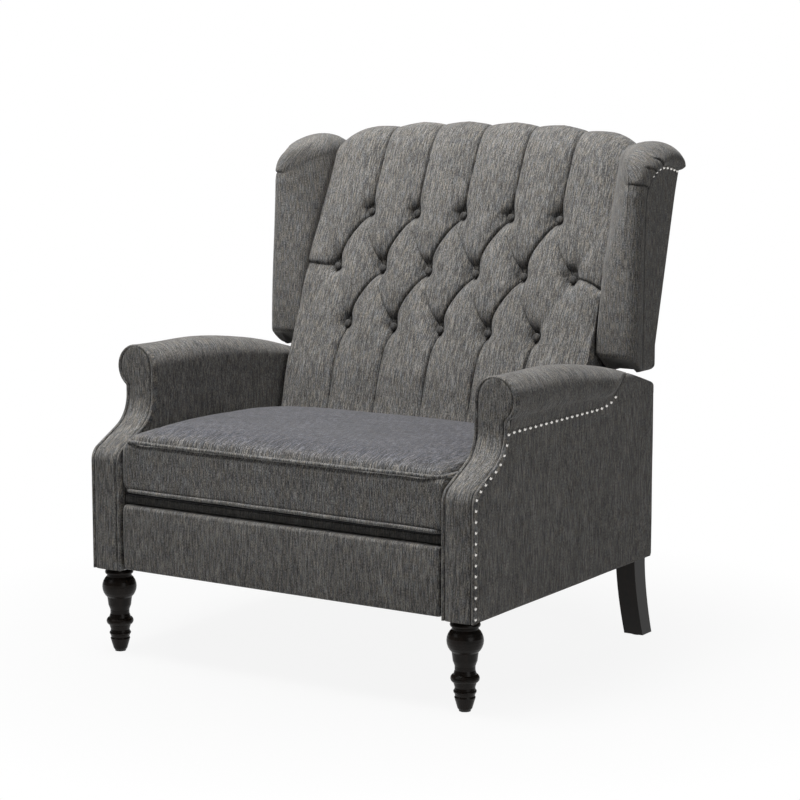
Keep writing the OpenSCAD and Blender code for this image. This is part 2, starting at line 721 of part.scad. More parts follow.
// Elastic straps across the front of the frame
module back_webbing() {
    straps = 4;
    low = back_bottom_z + bottom_rail_h + strap_w;
    high = frame_top - top_rail_h - 2 * strap_w;
    color("#2b2b2b") for (i = [0:straps - 1]) let (z = low + (high - low) * i / (straps - 1))
        slab_x(-post_in, post_in, [for (c = [[0, 0], [strap_t, 0], [strap_t, strap_w], [0, strap_w]])
            [rear_y(z + c[1]) - frame_front + c[0], z + c[1]]]);
}
module back_outside_panel() {
    t = back_panel_t - eps;
    color("#4c4e51") slab_x(-pad_half, pad_half, [[rear_y(back_bottom_z) - t, back_bottom_z],
        [rear_y(back_bottom_z), back_bottom_z], [rear_y(frame_top), frame_top],
        [rear_y(frame_top) - t, frame_top]]);
}
module back_pivot_plates() {
    half = 11;
    function mid_y(z) = rear_y(z) - frame_back - back_frame_t / 2;
    z0 = pivot_z - 60;
    z1 = pivot_z + 60;
    color("#8d9094") both_sides() difference() {
        slab_x(pad_half, plate_out, [[mid_y(z0) - half, z0], [mid_y(z0) + half, z0],
            [mid_y(z1) + half, z1], [mid_y(z1) - half, z1]]);
        bar_x(pad_half - 1, plate_out + 1, [pivot_y, pivot_z], pivot_r + pin_gap);
    }
}

// Diamond tufting: full between the buttons, nothing at a button or along a crease.
// Above the top row and below the bottom row the creases run straight up and down.
function row_v(z) = min(0, max(-2, (z - tuft_top_z) / tuft_z));
// The tufting flattens where the cushion lies against it.
function tuft_fade(z) = 0.15 + 0.85 * smooth((z - cushion_top + 5) / 90);
function tuft(x, z) = let (a = x / tuft_x, v = row_v(z) / 2)
    tuft_h * tuft_fade(z) * pow(abs(sin(180 * (a - v)) * sin(180 * (a + v))), 0.42);
pad_columns = concat([-pad_half], [for (i = [-12:12]) i * tuft_x / 4], [pad_half]);
module back_pad() {
    z0 = back_bottom_z + 30;
    z1 = shoulder_z - 8;
    low = tuft_top_z - 2 * tuft_z;
    levels = concat([for (i = [0:5]) z0 + (low - z0) * i / 6],
        [for (i = [0:8]) low + 2 * tuft_z * i / 8],
        [for (i = [1:3]) tuft_top_z + (z1 - tuft_top_z) * i / 3]);
    function edge(x) = pow(min(1, abs(x) / pad_half), 12);
    function crest(x) = crest_z - 9 * (1 - tuft(x, tuft_top_z) / tuft_h)
        - crest_arch * pow(max(0, abs(x) - tuft_x / 2) / (pad_half - tuft_x / 2), 2);
    function column(x) =
        let (drop = 12 * edge(x), end = levels[len(levels) - 1],
            front = face_y(end) - tuft(x, end) + drop, back = top_y,
            ry = (back - front) / 2, rz = crest(x) - end)
        concat(
            [for (z = levels) [x, face_y(z) - tuft(x, z) * (1 - 0.6 * edge(x)) + drop, z]],
            [for (k = [1:6]) let (a = 180 - 180 * k / 6)
                [x, (front + back) / 2 + ry * cos(a), end + rz * pow(sin(a), 0.8)]],
            [[x, rear_y(frame_top + eps), frame_top + eps],
                [x, rear_y(frame_top + eps) - frame_front - eps, frame_top + eps],
                [x, rear_y(z0) - frame_front - eps, z0]]);
    color("#606265") loft([for (x = pad_columns) flip(column(x))]);
}

// Cloth-covered buttons: a shallow dome on a cone that sits in the tuft
module back_buttons() {
    color("#48494c") for (row = [0:2]) for (i = [-2.5:0.5:2.5])
        if (abs(2 * i) % 2 == (row == 1 ? 1 : 0)) let (z = tuft_top_z - row * tuft_z)
            translate([i * tuft_x, face_y(z) - eps, z]) rotate([90 - face_lean, 0, 0])
                rotate_extrude($fn = 16) scale(button_r) polygon(concat([[0, 0], [1, 0.8]],
                    [for (k = [1:4]) [cos(90 * k / 4), 0.87 + 0.4 * sin(90 * k / 4)]]));
}

// Wing: a pad from the back's side to a rounded front edge, full height above the arm
function wing_front(z) = top_y - wing_d - 10 * cos(180 * (z - wing_z) / (wing_top_z - wing_z));
module wing_solid() {
    inner = pad_half + eps;
    outer = arm_out + wing_out;
    levels = 11;
    function ring(t) =
        let (z = wing_z + (wing_top_z - wing_z) * t,
            top = max(0, z - wing_top_z + wing_r * 1.7) / (wing_r * 1.7),
            low = max(0, wing_z + 12 - z) / 12,
            e = wing_r * 1.5 * (1 - sqrt(max(0, 1 - top * top))) + 6 * low * low,
            s = wing_r * 0.45 * (1 - sqrt(max(0, 1 - top * top))) + 5 * low * low,
            y0 = wing_front(z) + e, y1 = min(rear_y(z), top_y) - e * 0.6,
            xi = inner + wing_flare * smooth((z - wing_z) / (wing_top_z - wing_z)), xo = outer - s, r = wing_r)
        concat(
            arc([xo - r, y0 + r], r, 0, -90, 4), arc([xi + r * 0.9, y0 + r * 0.9], r * 0.9, -90, -180, 4),
            [[(xi + inner) / 2, y0 + 0.5 * (y1 - y0)], [inner + s, y0 + 0.8 * (y1 - y0)], [inner + s, y1],
                [(inner + outer) / 2, y1], [xo, y1], [xo, (y0 + y1) / 2 + r]]);
    heights = concat([0, 0.012, 0.027], [for (i = [1:6]) 0.027 + (0.9 - 0.027) * i / 6],
        [0.93, 0.955, 0.975, 0.99, 1]);
    loft([for (t = heights) let (z = wing_z + (wing_top_z - wing_z) * t) [for (p = ring(t)) [p[0], p[1], z]]]);
}
board_x = arm_out + wing_out - 22 - wing_board_t;
module wing_board() {
    z0 = wing_z + 20;
    z1 = wing_top_z - wing_r - 24;
    inset = 34;
    slab_x(board_x, board_x + wing_board_t, [[wing_front(z0) + inset, z0], [rear_y(z0) - 14, z0],
        [rear_y(z1) - 14, z1], [wing_front(z1) + inset, z1]]);
}
module wing_right() { color("#5f6164") difference() { wing_solid(); wing_board(); } }
module wing_left() { mirror([1, 0, 0]) wing_right(); }
module wing_boards() { color("tan") both_sides() wing_board(); }
module wing_nails() {
    z0 = wing_top_z - 34;
    x = arm_out + wing_out;
    pitch = nail_pitch * 0.65;
    color("silver") both_sides() for (i = [0:wing_nails - 1])
        translate([x, wing_front(z0) + 3 * wing_r + i * pitch, z0 - 0.1 * i * pitch]) nail();
}

front_leg_left();
front_leg_right();
rear_leg_left();
rear_leg_right();
leg_glides();
leg_plates();
leg_bolts();
arm_front_posts();
arm_throat_posts();
arm_rear_posts();
arm_top_rails();
arm_bottom_rails();
arm_inside_panels();
arm_outside_panels();
arm_facing_left();
arm_facing_right();
arm_roll_left();
arm_roll_right();
arm_nails_left();
arm_nails_right();
rear_cross_rail();
middle_stretcher();
base_rear_panel();
seat_tracks();
back_pivot_bolts();
back_pivot_spacers();
seat_front_rail();
seat_side_rails();
seat_rear_rail();
seat_springs();
spring_clips();
seat_deck();
seat_cushion();
seat_runners();
link_brackets();
bracket_pins();
back_posts();
back_top_rail();
back_middle_rail();
back_bottom_rail();
back_webbing();
back_pad();
back_buttons();
back_outside_panel();
back_pivot_plates();
wing_left();
wing_right();
wing_boards();
wing_nails();
rear_links();
rear_link_pins();
control_links();
control_link_pins();
front_links();
front_link_pins();
board_links();
footrest_board();
footrest_pad();
footrest_brackets();
footrest_bracket_pins();
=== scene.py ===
import bpy
from math import copysign, cos, dist, exp, hypot, pi, radians, sin, sqrt, tan, tanh
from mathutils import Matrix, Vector, noise


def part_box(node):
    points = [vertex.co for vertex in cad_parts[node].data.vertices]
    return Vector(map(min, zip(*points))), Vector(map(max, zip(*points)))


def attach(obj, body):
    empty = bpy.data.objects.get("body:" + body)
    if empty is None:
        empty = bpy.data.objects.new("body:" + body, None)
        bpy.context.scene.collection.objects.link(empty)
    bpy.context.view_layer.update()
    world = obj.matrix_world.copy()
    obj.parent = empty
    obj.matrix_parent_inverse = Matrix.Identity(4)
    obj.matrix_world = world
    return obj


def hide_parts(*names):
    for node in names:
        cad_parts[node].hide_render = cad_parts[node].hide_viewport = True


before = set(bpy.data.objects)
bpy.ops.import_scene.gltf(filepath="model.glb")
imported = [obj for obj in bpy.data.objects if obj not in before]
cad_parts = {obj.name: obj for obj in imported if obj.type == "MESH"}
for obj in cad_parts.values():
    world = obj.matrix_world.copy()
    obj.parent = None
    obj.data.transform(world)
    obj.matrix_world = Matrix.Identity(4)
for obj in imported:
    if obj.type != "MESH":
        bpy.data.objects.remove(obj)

bpy.ops.object.select_all(action="DESELECT")
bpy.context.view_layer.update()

# ---- Camera ----
# The photograph looks at the chair from its front right, a little from above,
# through a long lens.
eye, nod, pan = (2.688, -4.119, 1.247), radians(81.5), radians(32.9)
bpy.ops.object.camera_add(location=eye, rotation=(nod, 0, pan))
camera = bpy.context.object
camera.name = "camera"
camera.data.sensor_width = 36
camera.data.lens = 107.06
bpy.context.scene.camera = camera
bpy.context.scene.view_settings.view_transform = "Standard"


# ---- Studio ----
# A white sweep: a pale floor that keeps the chair's shadow, a broad soft lamp above the
# seat, a weak one on either side in front and a weak one behind for the rear.
def feed(tree, made, inputs):
    """Gives each of a node's inputs a plain value, or links it to another node's output."""
    for key, value in inputs.items():
        if isinstance(value, bpy.types.NodeSocket):
            tree.links.new(value, made.inputs[key])
        else:
            made.inputs[key].default_value = value


def add_node(tree, kind, inputs={}, **settings):
    made = tree.nodes.new("ShaderNode" + kind)
    for key, value in settings.items():
        setattr(made, key, value)
    feed(tree, made, inputs)
    return made


def new_paint(name):
    """A material with its node tree and its shader."""
    paint = bpy.data.materials.new(name)
    paint.use_nodes = True
    return paint, paint.node_tree, paint.node_tree.nodes["Principled BSDF"]


def spread(tree, value, low, high, start=0.0, end=1.0):
    """Maps start to end of a value onto low to high."""
    return add_node(tree, "MapRange", {"Value": value, "From Min": start, "From Max": end,
                                       "To Min": low, "To Max": high}).outputs[0]


def seen_by_camera(tree, also):
    """1 for the camera's rays and for one other kind of ray."""
    ray = add_node(tree, "LightPath").outputs
    return add_node(tree, "Math", {0: ray["Is Camera Ray"], 1: ray[also]}, operation="MAXIMUM").outputs[0]


bpy.ops.mesh.primitive_plane_add(size=40, location=(0, 0, 0))
floor = bpy.context.object
floor.name = "studio_floor"
floor_paint, tree, matt = new_paint("white_floor")
feed(tree, matt, {"Base Color": (0.38, 0.38, 0.38, 1), "Roughness": 0.9})
place = add_node(tree, "TexCoord").outputs["Object"]
away = add_node(tree, "VectorMath", {0: place}, operation="LENGTH").outputs["Value"]
# the shadow fades out between these distances from the middle
shadow_near, shadow_far = 0.45, 1.15
white_share = spread(tree, away, 0.90, 1.0, shadow_near, shadow_far)
share = add_node(tree, "Math", {0: seen_by_camera(tree, "Is Glossy Ray"), 1: white_share},
                 operation="MULTIPLY")
glow = add_node(tree, "Emission", {"Color": (1, 1, 1, 1)})
blend = add_node(tree, "MixShader", {0: share.outputs[0], 1: matt.outputs[0], 2: glow.outputs[0]})
feed(tree, tree.nodes["Material Output"], {"Surface": blend.outputs[0]})
floor.data.materials.append(floor_paint)

world = bpy.data.worlds.new("studio")
bpy.context.scene.world = world
world.use_nodes = True
tree = world.node_tree
room = tree.nodes["Background"]
feed(tree, room, {"Color": (1, 1, 1, 1), "Strength": 0.09})
backdrop = add_node(tree, "Background", {"Color": (1, 1, 1, 1), "Strength": 1})
blend = add_node(tree, "MixShader", {0: seen_by_camera(tree, "Is Transmission Ray"), 1: room.outputs[0],
                                     2: backdrop.outputs[0]})
feed(tree, tree.nodes["World Output"], {"Surface": blend.outputs[0]})


def lamp(name, place, aim, size, power):
    bpy.ops.object.light_add(type="AREA", location=place)
    made = bpy.context.object
    made.name = name
    made.rotation_euler = (Vector(aim) - Vector(place)).to_track_quat("-Z", "Y").to_euler()
    made.data.size = size
    made.data.energy = power


lamp("top_lamp", (-0.6, -0.7, 3.8), (0, 0.1, 0.6), 1.4, 176)
lamp("key_lamp", (-2.4, -3.0, 3.0), (0, 0, 0.6), 1.6, 12)
lamp("side_lamp", (3.6, -1.6, 1.8), (0, 0, 0.5), 2.0, 25)
lamp("rear_lamp", (-0.9, 3.4, 2.0), (0, 0.2, 0.6), 2.0, 15)


# ---- Seat cushion ----
# A boxed foam cushion in a sewn cover of heathered charcoal cloth. The cover's panels
# swell between two corded seams, so the cushion is blown up with its seams held.
def ramp(tree, value, *stops):
    """Colours along a value; each stop is its place and its colour."""
    made = add_node(tree, "ValToRGB", {0: value})
    band = made.color_ramp.elements
    band[0].position, band[0].color = stops[0][0], (*stops[0][1], 1)
    band[1].position, band[1].color = stops[-1][0], (*stops[-1][1], 1)
    for place, colour in stops[1:-1]:
        band.new(place).color = (*colour, 1)
    return made.outputs[0]


def cloth_finish(name, grain, dark=(0.042, 0.041, 0.041), mid=(0.128, 0.125, 0.120),
                 light=(0.300, 0.290, 0.268), sheen=0.2, crown=None):
    """Yarns of three greys, some warm and some cool, that run along the axes where grain is 0, or along
    the piece's own weave where grain is None. A point attribute darkens the colour where shade falls in
    creases and recesses, as painted shade, and crown gives the heights over which the top is painted a cool
    blue-grey as a painted sheen."""
    paint, tree, shader = new_paint(name)
    where = laid = add_node(tree, "TexCoord").outputs["Object"]
    if grain is None:
        laid, grain = add_node(tree, "Attribute", attribute_name="weave").outputs["Vector"], (1, 0, 1)

    def yarn_noise(label, across, along, detail, shift=0.0):
        place = add_node(tree, "Mapping", {"Vector": laid, "Location": (shift, shift, shift),
                                           "Scale": [across if g else along for g in grain]})
        return add_node(tree, "TexNoise", {"Vector": place.outputs[0], "Scale": 1, "Detail": detail},
                        label=label).outputs["Fac"]

    def multiply(colour, other, share=1.0):
        return add_node(tree, "Mix", {0: share, 6: colour, 7: other}, data_type="RGBA",
                        blend_type="MULTIPLY").outputs[2]

    slub = yarn_noise("slub", 620, 46, 1.5)
    thread = yarn_noise("thread", 900, 300, 1.0)
    hue = yarn_noise("warm and cool yarns", 640, 60, 0.5, 7.3)
    cloud = yarn_noise("cloud", 22, 8, 2.0, 3.1)
    yarns = add_node(tree, "Mix", {0: 0.5, 2: slub, 3: thread}, data_type="FLOAT").outputs[0]
    colour = multiply(ramp(tree, yarns, (0.36, dark), (0.5, mid), (0.64, light)),
                      ramp(tree, hue, (0.36, (0.95, 0.99, 1.06)), (0.64, (1.06, 1.0, 0.92))))
    # the top above the crown heights is painted a cool blue-grey: a painted sheen
    if crown:
        height = add_node(tree, "SeparateXYZ", {0: where}).outputs["Z"]
        colour = multiply(colour, (0.52, 0.545, 0.66, 1), spread(tree, height, 0, 0.85, *crown))
    # painted shade: a point attribute darkens the colour in creases and recesses
    painted_crease_shade = add_node(tree, "Attribute", attribute_name="painted_crease_shade").outputs["Fac"]
    # the random cloud tone times the painted shade
    shade = add_node(tree, "Math", {0: spread(tree, cloud, 0.90, 1.10, 0.3, 0.7),
                                    1: spread(tree, painted_crease_shade, 1.0, 0.22)}, operation="MULTIPLY")
    tint = add_node(tree, "VectorMath", {0: colour, "Scale": shade.outputs[0]}, operation="SCALE")
    bump = add_node(tree, "Bump", {"Strength": 0.45, "Distance": 0.0005, "Height": yarns})
    feed(tree, shader, {"Base Color": tint.outputs[0], "Normal": bump.outputs[0], "Roughness": 0.85,
                        "Specular IOR Level": 0.2, "Sheen Weight": sheen, "Sheen Roughness": 0.4})
    return paint


def clamp(t):
    return max(0.0, min(1.0, t))


def ease(t):
    t = clamp(t)
    return t * t * (3 - 2 * t)


def wander(x, y, z):
    return noise.noise(Vector((x, y, z)))


def between(a, b, share):
    return tuple(p + (q - p) * share for p, q in zip(a, b))


def arc(x, y, r, degrees):
    return [(x + r * cos(radians(a)), y + r * sin(radians(a))) for a in degrees]


back_lean = radians(21.85)


def face_y(z):
    """Front plane of the back's frame, where the buttons are tied."""
    return 0.1237 + (z - 0.455) * tan(back_lean)


def pick(*objs):
    bpy.ops.object.select_all(action="DESELECT")
    for o in objs:
        o.select_set(True)
    bpy.context.view_layer.objects.active = objs[0]


def modify(piece, kind, **settings):
    """Gives a piece a modifier and applies it."""
    modifier = piece.modifiers.new("shaping", kind)
    for key, value in settings.items():
        setattr(modifier, key, value)
    pick(piece)
    bpy.ops.object.modifier_apply(modifier="shaping")


def finish_piece(piece, paint, name, body, *replaced, slot="grey_fabric", close=False, fill=None):
    pick(piece)
    bpy.ops.object.mode_set(mode="EDIT")
    bpy.ops.mesh.select_mode(type="VERT")
    bpy.ops.mesh.select_all(action="SELECT")
    bpy.ops.mesh.remove_doubles(threshold=0.00003)
    if close:
        bpy.ops.mesh.select_all(action="DESELECT")
        bpy.ops.mesh.select_non_manifold()
        bpy.ops.mesh.fill_holes(sides=0)
        bpy.ops.mesh.select_all(action="SELECT")
    bpy.ops.mesh.normals_make_consistent(inside=False)
    bpy.ops.object.mode_set(mode="OBJECT")
    bpy.ops.object.shade_smooth_by_angle(angle=radians(55))
    piece.name = piece.data.name = name
    piece.data.materials.clear()
    piece.data.materials.append(paint)
    for node in replaced:
        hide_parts(node)
    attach(piece, body)
    bpy.ops.object.select_all(action="DESELECT")


# the cushion's top gets the painted sheen given by crown
seat_cloth = cloth_finish("cushion_cloth", (1, 0, 0), dark=(0.030, 0.030, 0.031), mid=(0.122, 0.120, 0.116),
                          light=(0.360, 0.350, 0.330), sheen=0.3, crown=(0.452, 0.470))
cushion_low, cushion_welt, cushion_half, cushion_front = 0.3425, 0.448, 0.380, -0.4105
# the cover stays clear of the cords on the arms' fronts
side_limit, front_limit = 0.3835, -0.4138


def cushion_rear(z):
    return face_y(z) - 0.008


bpy.ops.mesh.primitive_cube_add(size=1)
cushion = bpy.context.object
for v in cushion.data.vertices:
    z = cushion_welt if v.co.z > 0 else cushion_low
    v.co = (copysign(cushion_half, v.co.x), cushion_front if v.co.y < 0 else cushion_rear(z), z)
for e in cushion.data.edges:
    a, b = (cushion.data.vertices[i].co for i in e.vertices)
    e.select = abs(a.z - b.z) > 0.05
for f in cushion.data.polygons:
    f.select = False
bpy.ops.object.mode_set(mode="EDIT")
bpy.ops.mesh.select_mode(type="EDGE")
bpy.ops.mesh.bevel(offset=0.022, segments=5)
bpy.ops.object.mode_set(mode="OBJECT")
modify(cushion, "REMESH", mode="VOXEL", voxel_size=0.006)
start = [v.co.copy() for v in cushion.data.vertices]


def rim_distance(co):
    return min(cushion_half - abs(co.x), co.y - cushion_front, cushion_rear(co.z) - co.y)


# the underside and both seams are held while the panels swell
on_seam = [i for i, c in enumerate(start) if c.z < cushion_low + 0.003
           or (min(abs(c.z - cushion_low), abs(c.z - cushion_welt)) < 0.0045 and rim_distance(c) < 0.0075)]
held = cushion.vertex_groups.new(name="seams")
held.add(on_seam, 1, "REPLACE")
cloth = cushion.modifiers.new("blow_up", "CLOTH")
cloth.settings.quality = 4
cloth.settings.use_pressure = True
cloth.settings.uniform_pressure_force = 4
cloth.settings.effector_weights.gravity = 0
cloth.settings.vertex_group_mass = "seams"
cloth.settings.shrink_min = -0.006
cloth.collision_settings.use_self_collision = False
for step in range(1, 21):
    bpy.context.scene.frame_set(step)
bpy.ops.object.modifier_apply(modifier="blow_up")
bpy.context.scene.frame_set(1)
cushion.vertex_groups.clear()

dome_rise, edge_rise, side_arch, corner_drop, uneven, pucker = 0.0165, 0.0075, 0.010, 0.013, 0.0016, 0.0006
for v, s in zip(cushion.data.vertices, start):
    inner = max(0.0, rim_distance(s))
    on_top = s.z > cushion_welt - 0.002
    move = v.co - s
    most, stiffness = (0.0080, 0.042) if on_top else (0.006, 0.012)
    if move.length > 0:
        move *= most * tanh(move.length / stiffness) / move.length
    co = s + move
    if on_top:
        wide = min(1, abs(s.x) / cushion_half)
        deep = (s.y - cushion_front) / (cushion_rear(s.z) - cushion_front)
        dome = (1 - wide ** 5) * (1 - abs(2 * deep - 1) ** 5)
        co.z += dome_rise * dome + edge_rise * (1 - exp(-inner / 0.010))
        co.z += wide ** 3 * (side_arch * sin(pi * min(1, max(0, deep) / 0.85))
                             - corner_drop * wide ** 3 * ease((deep - 0.72) / 0.28))
        co.z += uneven * wander(s.x * 6, s.y * 6, 3.1) * min(1, inner / 0.05)
        pull = sin(s.x * 150 + 5 * wander(s.x * 9, 1.7, 0))
        co.z -= pucker * max(0, pull) * exp(-(s.y - cushion_front) / 0.03) * min(1, inner / 0.01)
    co.x = max(-side_limit, min(side_limit, co.x))
    co.y = max(-0.4165, min(face_y(co.z) - 0.0035, co.y))
    v.co = co
# the upper seam is drawn out again to its cord
near_welt = [v.co for v in cushion.data.vertices if abs(v.co.z - cushion_welt) < 0.006]
reach_x, reach_front = max(c.x for c in near_welt), min(c.y for c in near_welt)
for v in cushion.data.vertices:
    v.co.x = max(-side_limit, min(side_limit, v.co.x * cushion_half / reach_x))
    fade = 1 - ease((v.co.y - cushion_front) / 0.25)
    forward = v.co.y + (cushion_front + 0.0015 - reach_front) * fade
    v.co.y = max(front_limit + 0.9 * max(0.0, v.co.z - cushion_welt), forward)
modify(cushion, "SUBSURF", levels=1, render_levels=1)
finish_piece(cushion, seat_cloth, "cushion_cover", "seat", "seat_cushion", slot="seat_fabric", fill=0.8)


def strand(name, points, radius, roundness, closed=False):
    """A round cord along points; a point's fourth value is its share of the radius."""
    data = bpy.data.curves.new(name, "CURVE")
    data.dimensions = "3D"
    data.bevel_depth = radius
    data.bevel_resolution = roundness
    data.use_fill_caps = not closed
    run = data.splines.new("POLY")
    run.points.add(len(points) - 1)
    for knot, (x, y, z, *share) in zip(run.points, points):
        knot.co = (x, y, z, 1)
        knot.radius = share[0] if share else 1.0
    run.use_cyclic_u = closed
    made = bpy.data.objects.new(name, data)
    bpy.context.scene.collection.objects.link(made)
    return made


def seam_cord(name, points, radius, paint, body, slot="grey_fabric", closed=False):
    """A seam's cord: cloth-covered piping along points."""
    pick(strand(name, points, radius, 3, closed))
    bpy.ops.object.convert(target="MESH")
    finish_piece(bpy.context.object, paint, name, body, slot=slot)


def cushion_seam(z, out, drop):
    """Points round the cushion at one of its seams."""
    r = 0.026
    x, y0, y1 = cushion_half + out - r, cushion_front - out + r, cushion_rear(z) + out - r
    loop = (arc(x, y0, r, range(-90, 1, 15)) + arc(x, y1, r, range(0, 91, 15))
            + arc(-x, y1, r, range(90, 181, 15)) + arc(-x, y0, r, range(180, 271, 15)))
    full = []
    for a, b in zip(loop, loop[1:] + loop[:1]):
        n = max(1, int(dist(a, b) / 0.015))
        full += [between(a, b, k / n) for k in range(n)]
    sag = [drop * (cos(pi * x / 0.8) if drop < 0 else min(0.0, -x)) for x, y in full]
    return [(x, y, z + s + 0.0007 * wander(x * 12, y * 12, z * 3)) for (x, y), s in zip(full, sag)]


upper_seam = cushion_seam(cushion_welt, 0.0012, -0.002)
lower_seam = cushion_seam(cushion_low + 0.0040, 0.0024, 0.006)
seam_cord("cushion_upper_cord", upper_seam, 0.0036, seat_cloth, "seat", "seat_fabric", closed=True)
seam_cord("cushion_lower_cord", lower_seam, 0.0042, seat_cloth, "seat", "seat_fabric", closed=True)

# ---- Tufted back ----
# Thick foam and fibre under one cloth, pulled in by sixteen buttons. Each button's spare
# cloth is folded into a long curved pleat that rises to the right and a short one to the
# left; straight pleats run over the crest and down to the seat.
upright_cloth = cloth_finish("upholstery_cloth", (1, 1, 0))
pitch, row_gap, top_row = 0.119, 0.120, 0.880
pad_half, pad_low, crest, shoulder = 0.373, 0.377, 1.0795, 1.030
buttons = [(pitch * (k - (2.5 if row == 1 else 2)), top_row - row * row_gap, row)
           for row in range(3) for k in range(6 if row == 1 else 5)]


def fall(d, width, power=2):
    """1 where d is 0, dying away over width."""
    return exp(-(d / width) ** power)


def rear_y(z):
    """Rear plane of the back."""
    return 0.4223 - (shoulder - z) * tan(radians(15.1))


pleats, pleat_reach = [], 0.06


def add_pleat(steps, cut, hollow, path, ends=False):
    """A pleat along path: depth of its groove and of the hollow beside it, and whether it dies out."""
    line = [path(k) for k in range(steps + 1)]
    xs, zs = zip(*line)
    pleats.append((line, cut, hollow, ends, min(xs) - pleat_reach, max(xs) + pleat_reach,
                   min(zs) - pleat_reach, max(zs) + pleat_reach))


for bx, bz, row in buttons:
    if row and abs(bx + pitch / 2) < pitch * 2.1:
        add_pleat(14, 0.0065, 0.0050, lambda k: (bx + pitch / 2 * (1 - sin(pi / 2 * (1 - k / 14))),
                                                 bz + row_gap * k / 14))
    if row and abs(bx - pitch / 2) < pitch * 2.1:
        add_pleat(8, 0.0050, 0.0070, lambda k: (bx - 0.056 * (k / 8) ** 0.88, bz + 0.084 * k / 8), ends=True)
    if row == 0:
        add_pleat(10, 0.0070, 0.0045, lambda k: (bx + 0.010 * (k / 10) ** 2, bz + 0.022 * k))
        add_pleat(4, 0.003, 0.003, lambda k: (bx - 0.026 * k / 4, bz + 0.010 * k / 4), ends=True)
    if row == 2:
        add_pleat(24, 0.0055, 0.0028, lambda k: (bx - 0.009 * sin(pi / 2 * min(1, k / 6)), bz - 0.0125 * k))
outer = pitch * 2.5     # the outermost buttons' own pleats run out to the sides
add_pleat(4, 0.0028, 0.006, lambda k: (-outer - 0.02 * k, 0.760 + 0.001 * k))
add_pleat(4, 0.005, 0.007, lambda k: (outer + 0.018 * k, 0.762 + 0.0012 * k - 0.0014 * k * k))
add_pleat(5, 0.001, 0.004, lambda k: (outer + 0.006 * sin(k), 0.762 + 0.018 * k), ends=True)


def nearest(line, x, z):
    """Distance to a line, which side of it, and how far along it."""
    best, side, along = 9.0, 0.0, 0.0
    for k in range(len(line) - 1):
        (ax, az), (bx, bz) = line[k], line[k + 1]
        dx, dz = bx - ax, bz - az
        t = clamp(((x - ax) * dx + (z - az) * dz) / (dx * dx + dz * dz))
        px, pz = x - ax - t * dx, z - az - t * dz
        d = hypot(px, pz)
        if d < best:
            best, side, along = d, px * dz - pz * dx, (k + t) / (len(line) - 1)
    return best, side, along


stuffing, button_pull, button_rim = 0.0225, 0.0125, 0.0085


def tuft(x, z):
    """How far the cloth stands before the buttons' plane, and how much painted shade it gets in the pleats and
    in the pockets round the buttons.
    """
    v = min(0.0, max(-2.0, (z - top_row) / row_gap)) / 2
    a = x / pitch
    puff = abs(sin(pi * (a - v)) * sin(pi * (a + v))) ** 0.6
    full, dark = stuffing * (0.72 + 0.28 * puff), 0.0
    for line, cut, hollow, ends, x0, x1, z0, z1 in pleats:
        if not (x0 < x < x1 and z0 < z < z1):
            continue
        d, side, along = nearest(line, x, z)
        if d < pleat_reach:
            power = (1 - along) ** 0.55 if ends else 1.0
            soft = 0.021 if side < 0 else 0.0070
            full -= power * (hollow * fall(d, soft, 1.7) + cut * fall(d, 0.0026, 1.5))
            # painted shade: a thin dark line in each pleat's groove and a faint wider band on its hollow side
            dark = max(dark, 0.8 * power * min(1.0, cut / 0.006) * fall(d, 0.0020),
                       0.16 * power * (side < 0) * fall(d, 0.010))
    for bx, bz, row in buttons:
        if abs(x - bx) < 0.06 and abs(z - bz - 0.008) < 0.08:
            d = hypot(x - bx, z - bz)
            above = hypot((x - bx + 0.002) / 0.016, (z - bz - 0.009) / 0.025)
            full -= button_pull * fall(d, 0.0130) + (0.0105 if row else 0.0075) * fall(above, 1, 1.7)
            rim = fall(d - button_rim, 0.0042) if d > button_rim else 1
            # painted shade: dark round each button and in the pocket above it
            dark = max(dark, 0.92 * rim, 0.62 * fall(above, 1))
    flat = 0.16 + 0.84 * ease((z - 0.438) / 0.125)
    full += 0.0012 * wander(x * 16, z * 8, 0.4)
    return max(-0.004, full) * flat, dark


def shaped_grid(across, up, place, start=None):
    """A grid primitive whose points are moved to place(u, v), with an attribute for the shade painted into its
    creases.
    Where start is given, the cloth is wrapped like a sheet from that column and keeps its weave in a second
    one."""
    bpy.ops.mesh.primitive_grid_add(x_subdivisions=across, y_subdivisions=up, size=2)
    made = bpy.context.object
    painted_shade = made.data.attributes.new("painted_crease_shade", "FLOAT", "POINT")
    spots = [place((v.co.x + 1) / 2, (v.co.y + 1) / 2) for v in made.data.vertices]
    for v, c, spot in zip(made.data.vertices, painted_shade.data, spots):
        v.co = spot[:3]
        c.value = spot[3] if len(spot) > 3 else 0.0
    if start is not None:
        weave = made.data.attributes.new("weave", "FLOAT_VECTOR", "POINT")
        wide, rise = across + 1, 0.0
        for j in range(up + 1):
            row = [Vector(p[:3]) for p in spots[j * wide:(j + 1) * wide]]
            rise += (row[start] - below[start]).length if j else 0.0
            below, run = row, [0.0] * wide
            for i in range(start + 1, wide):
                run[i] = run[i - 1] + (row[i] - row[i - 1]).length
            for i in range(start - 1, -1, -1):
                run[i] = run[i + 1] - (row[i] - row[i + 1]).length
            for i, r in enumerate(run):
                weave.data[j * wide + i].vector = (r, rise, 0)
    return made


def channel(x):
    """0 on the seams between the crest's six channels, 1 between them."""
    near_seam = min(abs(x - pitch * k - 0.006) for k in (-2, -1, 0, 1, 2))
    near_side = abs(abs(x) - 0.368)
    return min(1.0, min(near_seam, near_side + 0.012) / 0.062) ** 0.55


def side_x(z):
    """Half the width between the wings: they close in a little towards the top."""
    return 0.373 - 0.009 * ease((z - 0.78) / 0.22)


